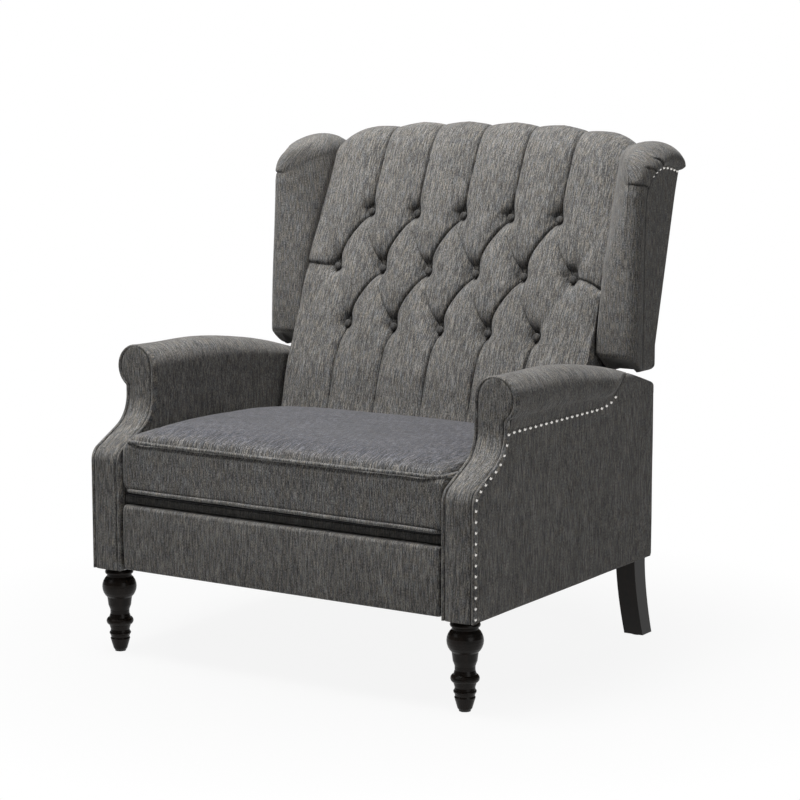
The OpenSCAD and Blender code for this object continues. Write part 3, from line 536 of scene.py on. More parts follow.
def bend(a, b, c, t):
    """A point on the curve that leaves a towards b and arrives at c from b."""
    return tuple((1 - t) ** 2 * p + 2 * t * (1 - t) * q + t * t * r for p, q, r in zip(a, b, c))


def pad_rear(z):
    return rear_y(z) - 0.0315


face_end, crest_foot, hem_z, apex_y, crest_rear = 0.996, 1.0135, 1.0085, 0.4015, 0.4215


def back_place(u, v):
    """The cover from its lower edge up the face, over the crest, and down behind the padding."""
    t = -1 + 2 * u
    rim = 0.007 * abs(t) ** 34
    if v < 0.64:
        z = pad_low + (face_end - pad_low) * v / 0.64
        x = t * side_x(z)
        out, dark = tuft(x, z)
        return (x, face_y(z) - out + rim, z, dark)
    x = t * side_x(face_end)
    arch = 0.026 * (max(0.0, abs(x) - pitch / 2) / (pad_half - pitch / 2)) ** 2
    top = crest - arch - 0.009 * (1 - channel(x)) - 0.018 * abs(t) ** 16
    if v < 0.76:
        out, dark = tuft(x, face_end)
        y = face_y(face_end) - out + rim
        knee = (y + (top - face_end) * tan(back_lean), top)
        y, z = bend((y, face_end), knee, (apex_y, top), (v - 0.64) / 0.12)
        return (x, y, z, dark * (1 - ease((v - 0.73) / 0.03)))
    if v < 0.82:
        return (x, *bend((apex_y, top), (crest_rear, top), (crest_rear, crest_foot), (v - 0.76) / 0.06))
    if v < 0.85:
        return (x, crest_rear, crest_foot + (hem_z - crest_foot) * (v - 0.82) / 0.03)
    if v < 0.87:
        return (x, crest_rear + (pad_rear(hem_z) - crest_rear) * (v - 0.85) / 0.02, hem_z)
    if v < 0.97:
        z = hem_z + (pad_low - hem_z) * (v - 0.87) / 0.10
        return (x, pad_rear(z), z)
    low_front = face_y(pad_low) - tuft(x, pad_low)[0] + rim
    return (x, pad_rear(pad_low) + (low_front - pad_rear(pad_low)) * (v - 0.97) / 0.03, pad_low)


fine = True
back_pad = shaped_grid(340 if fine else 130, 500 if fine else 200, back_place)
finish_piece(back_pad, cloth_finish("back_cloth", (1, 0, 0)), "tufted_back", "back", "back_pad",
             close=True, fill=0.85)

# ---- Painted shadow lines in the pleats ----
# Along each pleat the cloth turns under itself: a thin rounded edge that lies deep in the groove,
# painted near black as the shadow there, and dies out at the pleat's end.
def joined(pieces):
    """One piece out of several, with their places in its mesh."""
    pick(*pieces)
    bpy.ops.object.transform_apply(location=True, rotation=True, scale=True)
    bpy.ops.object.join()
    return bpy.context.object


edge_low, edge_radius, shallow = 0.485, 0.0010, 0.0045
edges = []
for line, cut, _, ends, *_ in pleats:
    if cut < shallow:
        continue
    steps, points = 5 * (len(line) - 1), []
    for i in range(steps + 1):
        k = min(len(line) - 2, i // 5)
        x, z = between(line[k], line[k + 1], i / 5 - k)
        z = max(edge_low, min(z, face_end))
        thin = max(0.25, 1 - (i / steps) ** 2) if ends else 1.0
        points.append((x, face_y(z) - tuft(x, z)[0] - 0.0002, z, thin))
    edges.append(strand("edge", points, edge_radius, 1))
pick(*edges)
bpy.ops.object.convert(target="MESH")
# near black: the painted shadow at the bottom of each pleat
pleat_shadow_cloth = cloth_finish("pleat_shadow_cloth", (1, 0, 0), dark=(0.004, 0.004, 0.004), mid=(0.010, 0.010, 0.010),
                          light=(0.022, 0.021, 0.020), sheen=0.0)
finish_piece(joined(edges), pleat_shadow_cloth, "pleat_shadow_lines", "back")


# ---- Sides of the back's frame ----
# The back's posts are wrapped in the same cloth, stapled behind them. A strip of it is
# seen in the gap between wing and arm.
def soft_block(corner, radius, segments):
    """A cube with its corners moved to corner(x, y, z), each True at the far end, and its edges rounded."""
    bpy.ops.mesh.primitive_cube_add(size=1)
    made = bpy.context.object
    for v in made.data.vertices:
        v.co = corner(*(c > 0 for c in v.co))
    bpy.ops.object.mode_set(mode="EDIT")
    bpy.ops.mesh.select_all(action="SELECT")
    bpy.ops.mesh.bevel(offset=radius, segments=segments)
    bpy.ops.object.mode_set(mode="OBJECT")
    return made


sides = ((-1, "left"), (1, "right"))
for side, label in sides:
    def post_corner(out, rear, up):
        z = 0.600 if up else 0.380
        return ((0.3752 if out else 0.3733) * side, rear_y(z) - (0.0055 if rear else 0.0325), z)

    wrap = soft_block(post_corner, 0.0007, 2)
    finish_piece(wrap, upright_cloth, "back_side_cloth_" + label, "back", fill=0.2)

# ---- Back buttons ----
# Domed metal shells covered in the same cloth, each tied through the padding with twine,
# so that it sits tilted with the back at the bottom of its tuft.
button_r, button_dome, button_sink = 0.0086, 0.0048, 0.0045
domes = []
for bx, bz, row in buttons:
    bpy.ops.mesh.primitive_uv_sphere_add(segments=20, ring_count=12, radius=1,
                                         location=(bx, face_y(bz) - button_sink, bz))
    one = bpy.context.object
    one.scale = (button_r, button_r, button_dome)
    one.rotation_euler = (pi / 2 - back_lean, 0, 0)
    domes.append(one)
# the buttons' cloth is painted darker than the back's: painted shade of the pockets they sit in
shaded_button_cloth = cloth_finish("shaded_button_cloth", (1, 0, 0), dark=(0.02, 0.02, 0.02), mid=(0.055, 0.054, 0.052),
                            light=(0.11, 0.105, 0.10))
finish_piece(joined(domes), shaded_button_cloth, "covered_buttons", "back", "back_buttons")

# ---- Arms: outside and inside covers ----
# Cloth over thin wadding on the arm's frame, cut at the front to the arm's curve and
# turned round the rear post, where it is stapled.
front_y, throat_y, arm_rear, arm_in, arm_out = -0.4223, -0.3063, 0.3067, 0.388, 0.459
body_z, base_z, facing_t = 0.178, 0.527, 0.014
knee_r, throat_r, turn = 0.034, 0.070, radians(62)
throat_cy, knee_cy = throat_y - throat_r, front_y + knee_r
low_y, low_z = throat_cy + throat_r * cos(turn), base_z - throat_r * sin(turn)
knee_cz = low_z - (low_y - knee_cy + knee_r * cos(turn)) * tan(radians(28)) - knee_r * sin(turn)


def arm_curve(cy, cz, r, first, last, inwards):
    """Points on an arc of the arm's edge, each with the direction into the arm."""
    turns = [first + (last - first) * k / 10 for k in range(11)]
    return [((cy + r * cos(a), cz + r * sin(a)), (inwards * cos(a), inwards * sin(a))) for a in turns]


# the arm's front edge as (y, z) with its direction inwards: post, knee, slope and throat
arm_line = [((front_y, body_z + (knee_cz - body_z) * k / 12), (1, 0)) for k in range(12)]
arm_line += arm_curve(knee_cy, knee_cz, knee_r, pi, pi - turn, -1)
slope_top, slope_n = arm_line[-1]
arm_line += [(between(slope_top, (low_y, low_z), k / 4), slope_n) for k in range(1, 4)]
arm_line += arm_curve(throat_cy, base_z, throat_r, -turn, 0, 1)


def behind(off):
    return [(p[0] + off * n[0], p[1] + off * n[1]) for p, n in arm_line]


def soft_wave(y, z):
    return 0.0008 * wander(y * 8, z * 8, 2.3)


def round_off(t):
    """How far a quarter round of radius 1 has dropped at t."""
    return 1 - sqrt(max(0.0, 1 - t * t))


def side_cover(side, face, back, rear):
    """A thin pad whose front edge follows the arm's curve; face is its cloth side in x."""
    rows = [(y, max(body_z, min(base_z, z))) for y, z in behind(facing_t)]
    rows[0], rows[-1] = (rows[0][0], body_z), (rows[-1][0], base_z)
    into = 1 if back > face else -1

    def place(u, v):
        t = v * (len(rows) - 1)
        k = min(len(rows) - 2, int(t))
        y0, z = between(rows[k], rows[k + 1], t - k)
        if u < 0.02 or u > 0.98:
            return (back * side, y0 if u < 0.5 else rear, z)
        y = y0 + (rear - y0) * (u - 0.02) / 0.96
        lifted = (base_z - z) / 0.010 + 2 * ease((y - 0.06) / 0.05) if into < 0 else 1
        rim = clamp(min((z - body_z) / 0.010, lifted, (y - y0) / 0.006, (rear - y) / 0.010))
        return ((face + into * 0.003 * round_off(1 - rim) + soft_wave(y, z)) * side, y, z)

    return shaped_grid(90, 90, place)


for side, label in sides:
    def rear_corner(out, rear, up):
        return ((0.4505 if out else arm_in) * side, 0.3064 if rear else 0.2952, base_z if up else body_z)

    finish_piece(side_cover(side, arm_out, 0.447, arm_rear), upright_cloth,
                 "arm_outside_cover_" + label, "base", "arm_outside_panels", close=True, fill=0.2)
    finish_piece(side_cover(side, arm_in, 0.400, arm_rear - 0.012), upright_cloth,
                 "arm_inside_cover_" + label, "base", "arm_inside_panels", close=True, fill=0.2)
    finish_piece(soft_block(rear_corner, 0.0025, 3), upright_cloth,
                 "arm_rear_cover_" + label, "base", "arm_outside_panels", fill=0.2)

# ---- Arm rolls ----
# Wadding wrapped over the arm's top rail under cloth that runs round the roll. Near the
# rear the roll is gathered into a slanting seam, and the arm is a flat panel behind it.
roll_cloth = cloth_finish("roll_cloth", (0, 1, 0))
roll_x, roll_r, roll_z = 0.433725, 0.045725, 0.585
roll_front, drop_y, seam_fade = throat_y + facing_t, front_y + 0.236, 0.055


def arm_top(y):
    return roll_z + roll_r - 0.081 * (max(0, y - drop_y) / (arm_rear - drop_y)) ** 2


def roll_ring(y):
    """The roll's section at y: (x, z, painted shade) from its inner foot, under it and round over its top."""
    h = (arm_top(y) - base_z) / (roll_z + roll_r - base_z)
    ring = [(x, base_z, 0) for x in (arm_in + soft_wave(y, base_z), arm_in + 0.03, arm_out - 0.02, arm_out)]
    for k in range(-2, 64):
        a = -50 + 230 * max(k, 0) / 63
        end_seam = 0.128 + 0.0006 * (min(a, 90) + 50)
        bulge = 1 - ease((y - end_seam + seam_fade) / seam_fade)
        c, d = cos(radians(a)), sin(radians(a))
        flat_x, flat_z = round_x, round_z = roll_x + roll_r * c, base_z + h * (roll_z - base_z + roll_r * d)
        if c > 0:
            flat_x = roll_x + (arm_out - roll_x) * c ** 0.45 if a > 0 else arm_out
            flat_z = base_z + h * (roll_z - base_z + roll_r * copysign(abs(d) ** (0.75 if a > 0 else 1), d))
        x, z = between((flat_x, flat_z), (round_x, round_z), bulge)
        if k < 0:
            x, z = between((arm_out, base_z), (x, z), (k + 3) / 3)
        painted_shade = 0.0
        if c > -0.1:
            sunk = fall(y - end_seam, 0.003)
            x -= 0.0020 * sunk * max(0, c)
            z -= 0.0012 * sunk * max(0, d)
            # painted shade along the sunk end seam
            painted_shade = 0.55 * fall(y - end_seam, 0.0022) * min(1, (c + 0.1) * 2)
        gather = max(0, sin(a * 0.22 + 2 * wander(0.5, y * 6, a * 0.02))) * exp(-(y - roll_front) / 0.03)
        grow = bulge * (0.0013 * wander(x * 12, y * 9, z * 12) - 0.0009 * gather)
        x += grow * c * ease((c + 1) * 3) + soft_wave(y, z) * ((1 - bulge) if c > 0 else ease(-c * 2))
        z += grow * d
        ring.append((x, z, painted_shade))
    foot = ring[-1][1]
    inner = [base_z + (foot - base_z) * (1 - k / 6) for k in range(1, 6)]
    return ring + [(arm_in + soft_wave(y, z), z, 0) for z in inner]


roll_steps = [roll_front + (arm_rear - 0.006 - roll_front) * k / 190 for k in range(191)]
roll_steps += [arm_rear - off for off in (0.004, 0.002, 0.0008, 0.0004)]


def roll_row(y):
    """The roll's section in space, drawn in at the roll's rounded rear edge."""
    shrink = 0.003 * round_off(max(0.0, (y - arm_rear + 0.006) / 0.006))
    return [(x - copysign(min(shrink, abs(x - 0.4235)), x - 0.4235), y,
             z - (shrink if z > base_z + 0.005 else 0), painted_shade) for x, z, painted_shade in roll_ring(y)]


def row_cover(rows, side, start=None):
    """A cover through closed rows of (x, y, z, painted shade), mirrored on the left side."""
    def place(u, v):
        row = rows[round(v * (len(rows) - 1))]
        x, y, z, painted_shade = row[round(u * len(row)) % len(row)]
        return (x * side, y, z, painted_shade)

    return shaped_grid(len(rows[0]), len(rows) - 1, place, start)


roll_rows = [roll_row(y) for y in roll_steps]
for side, label in sides:
    roll = row_cover(roll_rows, side)
    finish_piece(roll, roll_cloth, "roll_cover_" + label, "base", "arm_roll_" + label, close=True, fill=0.8)

# ---- Arm fronts ----
# A shaped board with thin padding, covered and set in last, with a cloth-covered cord
# sewn round its whole edge.
strip_cloth = cloth_finish("strip_cloth", (1, 0, 0))
groove, groove_shade, front_crown = 0.0034, 0.9, 0.0014
cord_set, cord_r = 0.0026, 0.0034      # how far the cord lies inside the edge, and its radius


def front_edges(z):
    """Inner and outer edge of the arm's front at a height."""
    half = sqrt(max(0.0, roll_r ** 2 - (z - roll_z) ** 2))
    low = roll_x - roll_r if z <= roll_z else roll_x - half
    return low, max(arm_out, roll_x + half) if z < roll_z else roll_x + half


stations = arm_line + [((throat_y, z), (1, 0)) for z in
                       [base_z + (roll_z - base_z) * k / 14 for k in range(1, 15)]
                       + [roll_z + roll_r * sin(pi / 2 * k / 20) for k in range(1, 21)]]


def front_ring(z):
    """The front's section at z: (x, depth behind its face, painted shade) all round."""
    low, high = front_edges(z)
    e = min(0.0062, (high - low) * 0.3)
    lip = ((0, facing_t, 0), (0, facing_t * 0.7, 0), (0, 0.0060, 0), (e * 0.5, 0.0050, 0.5),
           (e, groove, groove_shade))
    ring = [(low + off, depth, dark) for off, depth, dark in lip]
    for k in range(1, 16):
        q = -1 + k / 8
        edge = exp(-(1 - abs(q)) * (high - low) / 2 / 0.0035)
        depth = groove * edge - front_crown * (1 - q * q) * min(1, (high - low) / 0.05)
        ring.append((low + e + (high - low - 2 * e) * k / 16, depth, groove_shade * edge ** 2))
    ring += [(high - off, depth, dark) for off, depth, dark in lip[::-1]]
    return ring + [(high + (low - high) * k / 4, facing_t, 0) for k in range(1, 4)]


for side, label in sides:
    def front_place(u, v):
        t = v * (len(stations) - 1)
        k = min(len(stations) - 2, int(t + 1e-6))
        (p, n), (q, m) = stations[k], stations[k + 1]
        y, z = between(p, q, t - k)
        ny, nz = between(n, m, t - k)
        ring = front_ring(z)
        x, depth, painted_shade = ring[round(u * len(ring)) % len(ring)]
        below_top = roll_z + roll_r - z
        if below_top < 0.010:
            depth += groove * max(0.0, 1 - below_top / 0.006) * (depth < 0.004)
            painted_shade = max(painted_shade, groove_shade * (1 - below_top / 0.010)) if depth < 0.006 else painted_shade
        if depth < 0.0001:
            depth += 0.0006 * wander(x * 20, z * 12, 0.3)
        return (x * side, y + ny * depth, max(body_z, z + nz * depth), painted_shade)

    front = shaped_grid(len(front_ring(0.2)), 2 * (len(stations) - 1), front_place)
    finish_piece(front, strip_cloth, "arm_front_" + label, "base", "arm_facing_" + label, close=True, fill=0.3)
    up_inside, up_outside = [], []
    for (y, z), n in stations:
        low, high = front_edges(z)
        lean_z = cord_set * (z - roll_z) / roll_r if n == (1, 0) and z > roll_z else 0.0
        inset = cord_set * sqrt(max(0.0, 1 - (lean_z / cord_set) ** 2))
        y, z = y + cord_r * n[0], z + cord_r * n[1] - lean_z
        up_inside.append(((low + inset) * side, y, z))
        up_outside.append(((high - inset) * side, y, z))
    seam_cord("arm_front_cord_" + label, up_inside + up_outside[-2::-1], cord_r, strip_cloth, "base")


# ---- Nailheads ----
# Polished domes on short pins, hammered in at even distances along the front and upper
# edges of the outside cover, which they hold to the frame.
def hard_finish(name, low, high, rough, scale, detail=2, ends=(0, 1), relief=0, **sockets):
    """Clouds or grain between two colours and between two roughnesses, drawn out by scale."""
    paint, tree, shader = new_paint(name)
    where = add_node(tree, "TexCoord").outputs["Object"]
    place = add_node(tree, "Mapping", {"Vector": where, "Scale": scale}).outputs[0]
    grain = add_node(tree, "TexNoise", {"Vector": place, "Scale": 1, "Detail": detail}).outputs["Fac"]
    feed(tree, shader, {"Base Color": ramp(tree, grain, (ends[0], low), (ends[1], high)),
                        "Roughness": spread(tree, grain, *rough)})
    if relief:
        bump = add_node(tree, "Bump", {"Strength": 0.15, "Distance": relief, "Height": grain})
        feed(tree, shader, {"Normal": bump.outputs[0]})
    feed(tree, shader, {key.replace("_", " "): value for key, value in sockets.items()})
    return paint


nickel = hard_finish("polished_nickel", (0.50, 0.485, 0.46), (0.85, 0.83, 0.79), (0.12, 0.3),
                     (260, 260, 260), Metallic=1)


def nail_row(name, spots, side, body, node, radius):
    """Domes with a pin each, at (x, y, z) on the outer side of an arm or wing."""
    dome, pin = 0.0027, 0.0008
    heads = []
    for x, y, z in spots:
        bpy.ops.mesh.primitive_uv_sphere_add(segments=12, ring_count=8, radius=1, location=(x * side, y, z))
        head = bpy.context.object
        for v in head.data.vertices:
            out = v.co.z
            v.co = (side * (dome * max(0.0, out) + pin * min(0.0, out)), v.co.x * radius, v.co.y * radius)
        heads.append(head)
    finish_piece(joined(heads), nickel, name, body, node, slot="nail_metal")


nail_z, corner, nail_in, nails = base_z - 0.004, 0.008, 0.007, 41
nail_path = [p for p in behind(nail_in) if body_z + 0.010 < p[1] < nail_z - corner]
nail_path = [(nail_path[0][0], body_z + 0.010)] + nail_path
nail_path += arc(throat_y + nail_in + corner, nail_z - corner, corner, (180, 157, 135, 112, 90))
nail_path += [(0.050, 0.523), (0.075, 0.5238), (0.097, 0.5265), (0.117, 0.5315), (0.133, 0.5395)]
run = [0]
for a, b in zip(nail_path, nail_path[1:]):
    run.append(run[-1] + dist(a, b))
nail_spots = []
for i in range(nails):
    along = run[-1] * i / (nails - 1)
    k = max(j for j in range(len(run) - 1) if run[j] <= along + 1e-9)
    y, z = between(nail_path[k], nail_path[k + 1], (along - run[k]) / (run[k + 1] - run[k]))
    nail_spots.append((arm_out - 0.0002, y, z))
for side, label in sides:
    nail_row("arm_nailheads_" + label, nail_spots, side, "base", "arm_nails_" + label, 0.0043)

# ---- Wings ----
# Padded boards bolted to the sides of the back. A fuller strip of padding runs up the
# front edge and rolls over the top, pleated at the corner and nailed under the roll.
wing_foot, ridge_from, roll_level, foot_r = 0.588, 0.93, 1.010, 0.012
wing_seam = [(0.249, 0.55), (0.249, 0.81), (0.2505, 0.874), (0.255, 0.930), (0.2625, 0.954),
             (0.275, 0.971), (0.290, 0.983), (0.307, 0.9915), (0.323, 0.9965), (0.342, 0.9985),
             (0.362, 0.997), (0.382, 0.9935), (0.402, 0.989), (0.43, 0.982)]
wing_slits = [[(0.308, 1.000), (0.298, 1.011), (0.280, 1.019)],
              [(0.290, 0.985), (0.276, 0.994), (0.252, 0.999)],
              [(0.262, 0.957), (0.245, 0.962), (0.214, 0.965)]]


def seam_distance(y, z):
    """Distance in front of and above the wing's seam; negative on its flat outer face."""
    d, side, along = nearest(wing_seam, y, z)
    return -d if side > 0 else d


def wing_outer(y, z):
    """The wing's outer face in x: flat behind the seam, swelling in front of it and most at the roll."""
    d = seam_distance(y, z)
    flat = 0.4570 - 0.0015 * ease((y - 0.30) / 0.12)
    if d <= 0:
        return flat
    k = ease((z - 0.945) / 0.05) * ease((y - 0.245) / 0.06)
    swell, width = 0.0050 + 0.0123 * k, 0.008 + 0.011 * k
    return flat + swell * sqrt(1 - (1 - min(1.0, d / width)) ** 2)


def wing_top(y):
    """The wing's ridge: it climbs from the front in one sweep and drops a little at the rear."""
    return 1.0475 - (2.42 * (0.36 - y) ** 2 if y < 0.36 else 5.2 * (y - 0.36) ** 2)


def wing_height(level, y):
    """High levels follow the ridge, so that the roll keeps its thickness."""
    if level < ridge_from:
        return level
    ridge = wing_top(y) - 0.0375
    return ridge_from + (level - ridge_from) * (ridge - ridge_from) / (roll_level - ridge_from)


def wing_ring(z):
    """The wing's outline seen from above, from its inner rear corner round the front and back."""
    front = 0.2097 - 0.010 * cos(pi * (min(z, ridge_from) - 0.591) / 0.456) + 0.0035 * ease((z - 0.95) / 0.06)
    rear, x_out, r = min(rear_y(z), 0.4223), 0.4623, 0.025
    full = ease((z - 0.62) / 0.3)
    q, square = 0.009 + 0.016 * full, 0.55 + 0.95 * full
    pad_front = max(front + q + 0.012, face_y(z) - 0.022)
    in_x = side_x(z) + 0.0005
    inner_x = min(0.3735 + 0.040 * clamp((z - 0.60) / 0.36) + q, 0.4350)
    ring = [(in_x, rear - (rear - pad_front) * k / 6) for k in range(6)]
    for k in range(25):
        a = radians(90 * k / 24)
        ring.append((inner_x - (inner_x - in_x) * max(0.0, cos(a)) ** square,
                     pad_front - (pad_front - front) * sin(a) ** square))
    ring += [(inner_x + (x_out - r - inner_x) * k / 8, front - 0.0015 * sin(pi * k / 8)) for k in range(1, 8)]
    ring += arc(x_out - r, front + r, r, range(-90, 1, 5))
    for k in range(1, 36):
        y = front + r + (0.310 - front - r) * k / 35
        outer_x = wing_outer(y, wing_height(z, y))
        ring.append((outer_x if k > 2 else x_out + (outer_x - x_out) * k / 3, y))
    for k in range(1, 19):
        y = 0.310 + (rear - 0.004 - 0.310) * k / 18
        ring.append((wing_outer(y, wing_height(z, y)), y))
    last = ring[-1][0]
    ring += [(last - 0.0012, rear - 0.0012), (last - 0.004, rear)]
    return ring + [(last - 0.004 + (0.3765 - last + 0.004) * k / 6, rear) for k in range(1, 7)]


def wing_row(kind, value):
    """One row of the wing's cover: kind is foot, side or dome, and value its step, level or angle."""
    row, level = [], {"foot": wing_foot, "side": value, "dome": roll_level}[kind]
    for x, y in wing_ring(level):
        slant = (0.032 * (1 - ease((y - 0.195) / 0.06)) - 0.002) * (1 - ease((level - wing_foot) / 0.11))
        z, painted_shade = wing_height(level, y) + slant, 0.0
        if kind == "foot":
            a = radians(90 - 90 * value / 5)
            s = foot_r * (1 - cos(a))
            x -= copysign(min(s, abs(x - 0.42)), x - 0.42)
            y += s if y < 0.25 else (-s if y > 0.285 else 0)
            z -= foot_r * sin(a)
        if kind == "dome":
            c, up = cos(radians(value)), sin(radians(value))
            mid, ridge_x = min(0.402, max(0.243, y)), 0.418
            inward = c ** 0.85 if x < ridge_x else c
            x, y = ridge_x + (x - ridge_x) * inward, mid + (y - mid) * c
            z += (wing_top(y) - z) * up
        out_x, out_y = x - 0.425, min(0.0, y - 0.245)
        size = hypot(out_x, out_y) + 1e-6
        push = 0.0009 * wander(x * 14, y * 10, z * 8) if y < rear_y(z) - 0.01 else 0.0
        # painted shade along the wing's corner pleats, which are also pressed in
        for slit in wing_slits if x > 0.428 else ():
            d, half, along = nearest(slit, y, z)
            if d < 0.03:
                fade = min(1.0, 4 * (1 - along) + 0.1) * min(1.0, (x - 0.428) / 0.012)
                push -= 0.0030 * fade * fall(d, 0.0022)
                push += 0.0022 * fade * exp(-d / 0.010) * (1 if half > 0 else -0.4)
                painted_shade = max(painted_shade, fade ** 0.5 * fall(d, 0.0017))
        # painted shadow on the flat outer face just behind the seam's swell
        if x > 0.45 and z < 0.985 and y > 0.235:
            painted_shade = max(painted_shade, 0.85 * fall(seam_distance(y, z) + 0.0055, 0.0042))
        row.append((x + push * out_x / size, y + push * out_y / size, z, painted_shade))
    return row


wing_rows = [wing_row("foot", k) for k in range(5)]
wing_rows += [wing_row("side", wing_foot + (ridge_from - wing_foot) * k / 56) for k in range(57)]
wing_rows += [wing_row("side", ridge_from + (roll_level - ridge_from) * k / 64) for k in range(1, 65)]
wing_rows += [wing_row("dome", 90 * k / 30) for k in range(1, 31)]
wing_cloth = cloth_finish("wing_cloth", None)
for side, label in sides:
    wing = row_cover(wing_rows, side, start=60)
    finish_piece(wing, wing_cloth, "wing_cover_" + label, "back", "wing_" + label, close=True, fill=0.8)
wing_spots = [(wing_outer(y, z - 0.006) - 0.0002, y, z) for y, z in (
    (0.290, 0.9795), (0.3055, 0.987), (0.3215, 0.9925), (0.339, 0.9945), (0.3565, 0.9935), (0.3735, 0.991),
    (0.3885, 0.988), (0.4025, 0.985))]
for side, label in sides:
    nail_row("wing_nailheads_" + label, wing_spots, side, "back", "wing_nails", 0.0040)


# ---- Outside back and base rear ----
# Cloth pulled flat over the back's frame and over a thin board below it.
def flat_cover(x, low, high, depth, crown):
    """A shallow pad from low to high, each (y, z) of its outer face."""
    length = dist(low, high)
    ny, nz = (high[1] - low[1]) / length, -(high[0] - low[0]) / length

    def place(u, v):
        gu, gv = clamp((u - 0.03) / 0.94), clamp((v - 0.03) / 0.94)
        rim = min(1, min(gu, 1 - gu) * 2 * x / 0.012, min(gv, 1 - gv) * length / 0.012)
        bulge = crown * (16 * gu * (1 - gu) * gv * (1 - gv)) ** 0.5 - 0.003 * round_off(1 - rim)
        if min(u, v) < 0.03 or max(u, v) > 0.97:
            bulge = -depth
        y, z = between(low, high, gv)
        return (-x + 2 * x * gu, y + ny * bulge, z + nz * bulge)

    return shaped_grid(70, 70, place)


outside = flat_cover(0.3728, (rear_y(0.3472), 0.3472), (rear_y(1.0075), 1.0075), 0.0045, 0.002)
finish_piece(outside, strip_cloth, "outside_back_cover", "back", "back_outside_panel", close=True, fill=0.2)
below = flat_cover(0.3876, (0.3064, 0.1785), (0.3064, 0.4948), 0.011, 0.0015)
finish_piece(below, upright_cloth, "base_rear_cover", "base", "base_rear_panel", close=True, fill=0.2)

# ---- Seat front rail and deck ----
# The rail under the cushion is a padded board in the same cloth, set back in the shade, where its
# cover is painted darker all over as painted shade; behind it a plain lining and a felt pad lie over the
# springs.
def rail_corner(right, rear, up):
    return (0.382 if right else -0.382, -0.3505 if rear else -0.4078, 0.3362 if up else 0.3195)


rail = soft_block(rail_corner, 0.003, 3)
# painted shade: the whole rail cover is darkened for the shadow of its recess
shaded = rail.data.attributes.new("painted_crease_shade", "FLOAT", "POINT")
shaded.data.foreach_set("value", [0.85] * len(rail.data.vertices))
finish_piece(rail, strip_cloth, "seat_rail_cover", "seat", "seat_front_rail", fill=0.3)

lining = cloth_finish("deck_lining", (1, 0, 1), dark=(0.015, 0.015, 0.016), mid=(0.035, 0.035, 0.037),
                      light=(0.06, 0.06, 0.062), sheen=0.1)
deck_lo, deck_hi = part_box("seat_deck")
deck_x = deck_hi[0] - 0.001


def deck_corner(right, rear, up):
    return (deck_x if right else -deck_x, deck_hi[1] - 0.001 if rear else deck_lo[1] + 0.001,
            deck_hi[2] - 0.0002 if up else deck_lo[2] + 0.0002)


finish_piece(soft_block(deck_corner, 0.0015, 2), lining, "deck_pad", "seat", "seat_deck",
             slot="deck_fabric", fill=0.2)

# ---- Footrest panel ----
# A padded board in the same cloth, flush with the arms' fronts until it swings out. The
# cloth is turned over the board's top edge.
pad_lo, pad_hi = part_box("footrest_pad")
board_lo, board_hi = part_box("footrest_board")


def footrest_ring(x):
    """The panel's section: square at the back, soft at the front edges."""
    soft, r = 0.007 * round_off(max(0.0, (abs(x) - pad_hi[0] + 0.008) / 0.008)), 0.008
    z0, z1 = pad_lo[2] + 0.0003 + soft * 0.3, pad_hi[2] - 0.0003 - soft * 0.3
    y0, y1 = pad_lo[1] + 0.0002 + soft, pad_hi[1]
    ring = [(y1, z0 + (z1 - z0) * j / 6) for j in range(7)]
    ring += arc(y0 + r, z1 - r, r, range(90, 181, 15))
    ring += [(y0 - 0.0016 * sin(pi * j / 24), z1 - r + (z0 + r - z1 + r) * j / 24) for j in range(1, 24)]
    return ring + arc(y0 + r, z0 + r, r, range(180, 271, 15))


def footrest_place(u, v):
    t = -1 + 2 * v
    x = (pad_hi[0] - 0.0005) * copysign(1 - (1 - abs(t)) ** 1.6, t)
    ring = footrest_ring(x)
    y, z = ring[round(u * len(ring)) % len(ring)]
    if y < pad_hi[1] - 0.012:
        y += 0.0006 * wander(x * 8, z * 14, 0)
    return (x, y, z)


panel = shaped_grid(len(footrest_ring(0)), 120, footrest_place)
finish_piece(panel, strip_cloth, "footrest_cover", "footrest", "footrest_pad", close=True, fill=0.5)
bpy.ops.mesh.primitive_grid_add(x_subdivisions=60, y_subdivisions=6, size=1)
turned = bpy.context.object
for v in turned.data.vertices:
    across = 0.5 + v.co.y
    drop = max(0.0, across - 0.75) / 0.25
    y = board_lo[1] + (board_hi[1] - board_lo[1] + 0.0006) * min(1.0, across / 0.75)
    v.co = (v.co.x * 2 * (board_hi[0] - 0.001), y, board_hi[2] + 0.0006 - 0.022 * drop)
modify(turned, "SOLIDIFY", thickness=0.0009, offset=0)
finish_piece(turned, strip_cloth, "footrest_turned_cloth", "footrest", fill=0.1)

# ---- Elastic webbing ----
# Four straps of black elastic stapled across the back's frame, one above the other,
# which carry the padding.
strap_lo, strap_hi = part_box("back_webbing")
strap_l, strap_w, strap_t = 0.678, 0.048, 0.0014
straps = []
for i in range(4):
    foot = strap_lo[2] + (strap_hi[2] - strap_lo[2] - 0.050) * i / 3 + 0.001
    bpy.ops.mesh.primitive_grid_add(x_subdivisions=40, y_subdivisions=4, size=1)
    strap = bpy.context.object
    for v in strap.data.vertices:
        x, z = strap_l * v.co.x, foot + strap_w * (v.co.y + 0.5)
        v.co = (x, rear_y(z) - 0.030 + 0.0004 * cos(x * 9), z)
    modify(strap, "SOLIDIFY", thickness=strap_t, offset=0)
    straps.append(strap)
elastic = cloth_finish("elastic_webbing", (0, 1, 1), dark=(0.012, 0.012, 0.012), mid=(0.028, 0.028, 0.028),
                       light=(0.05, 0.05, 0.05), sheen=0.0)
finish_piece(joined(straps), elastic, "webbing_straps", "back", "back_webbing", slot="webbing")


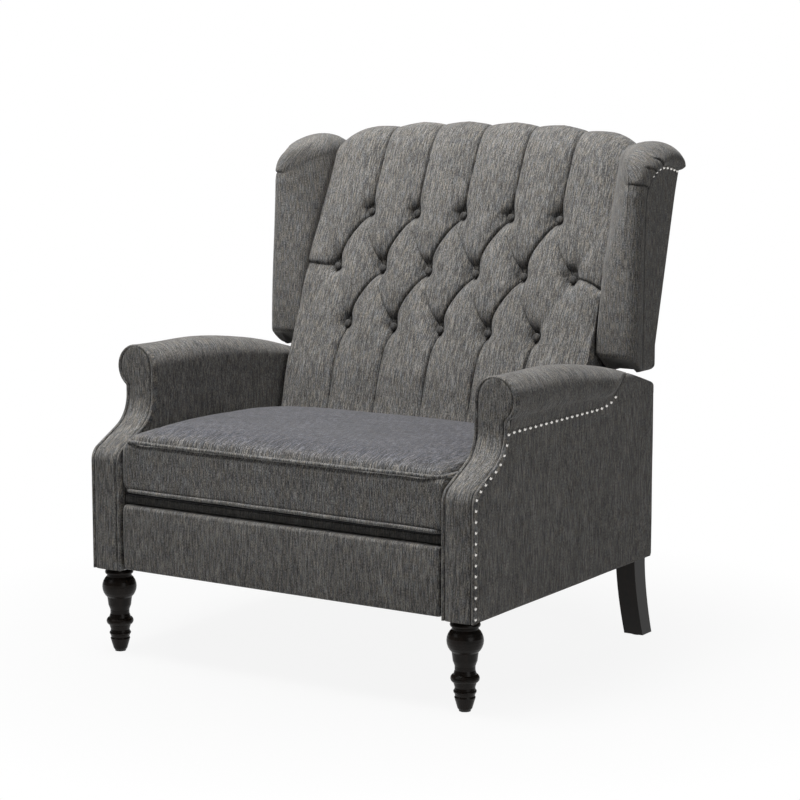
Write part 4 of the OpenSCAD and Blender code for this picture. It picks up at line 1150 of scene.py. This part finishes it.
# ---- Legs ----
# Turned front legs and sawn rear legs of hardwood, stained nearly black and lacquered,
# each screwed into a steel plate under the arm's frame.
def repaint(paint, *names):
    for n in names:
        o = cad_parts[n]
        o.data.materials.clear()
        o.data.materials.append(paint)


wood = {"detail": 5, "ends": (0.35, 0.65), "relief": 0.0004, "Coat_Roughness": 0.12}
espresso = hard_finish("espresso_lacquer", (0.006, 0.005, 0.004), (0.014, 0.010, 0.008), (0.289, 0.408),
                       (60, 60, 9), Coat_Weight=0.07, Specular_IOR_Level=0.12, **wood)
repaint(espresso, "front_leg_left", "front_leg_right", "rear_leg_left", "rear_leg_right")

# ---- Hardwood frame ----
# Sawn and planed boards, glued and screwed together and left raw under the upholstery.
# Their grain runs across the chair.
raw_wood = hard_finish("raw_hardwood", (0.42, 0.28, 0.15), (0.62, 0.45, 0.27), (0.595, 0.84),
                       (9, 60, 60), **wood)
repaint(raw_wood, "arm_front_posts", "arm_throat_posts", "arm_rear_posts", "arm_top_rails",
        "arm_bottom_rails", "rear_cross_rail", "middle_stretcher", "seat_side_rails", "seat_rear_rail",
        "back_posts", "back_top_rail", "back_middle_rail", "back_bottom_rail", "wing_boards", "footrest_board")

# ---- Links, plates and springs ----
# Zinc-plated pressed steel, bolted and riveted together, black painted tracks, oiled
# spring wire and plastic glides.
cloudy = {"scale": (90, 90, 90), "detail": 4}
zinc = hard_finish("zinc_plate", (0.48, 0.49, 0.50), (0.68, 0.69, 0.71), (0.266, 0.494), Metallic=1, **cloudy)
repaint(zinc, "leg_plates", "leg_bolts", "back_pivot_bolts", "link_brackets", "bracket_pins",
        "back_pivot_plates", "rear_links", "rear_link_pins", "control_links", "control_link_pins",
        "front_links", "front_link_pins", "board_links", "footrest_brackets", "footrest_bracket_pins",
        "seat_runners", "spring_clips")
black_paint = hard_finish("black_paint", (0.012, 0.012, 0.013), (0.03, 0.03, 0.032), (0.315, 0.585), **cloudy)
repaint(black_paint, "seat_tracks")
wire = hard_finish("spring_wire", (0.10, 0.10, 0.11), (0.22, 0.22, 0.23), (0.28, 0.52), Metallic=1, **cloudy)
repaint(wire, "seat_springs")
plastic = hard_finish("hard_plastic", (0.012, 0.012, 0.012), (0.03, 0.03, 0.03), (0.35, 0.65), **cloudy)
repaint(plastic, "leg_glides", "back_pivot_spacers")
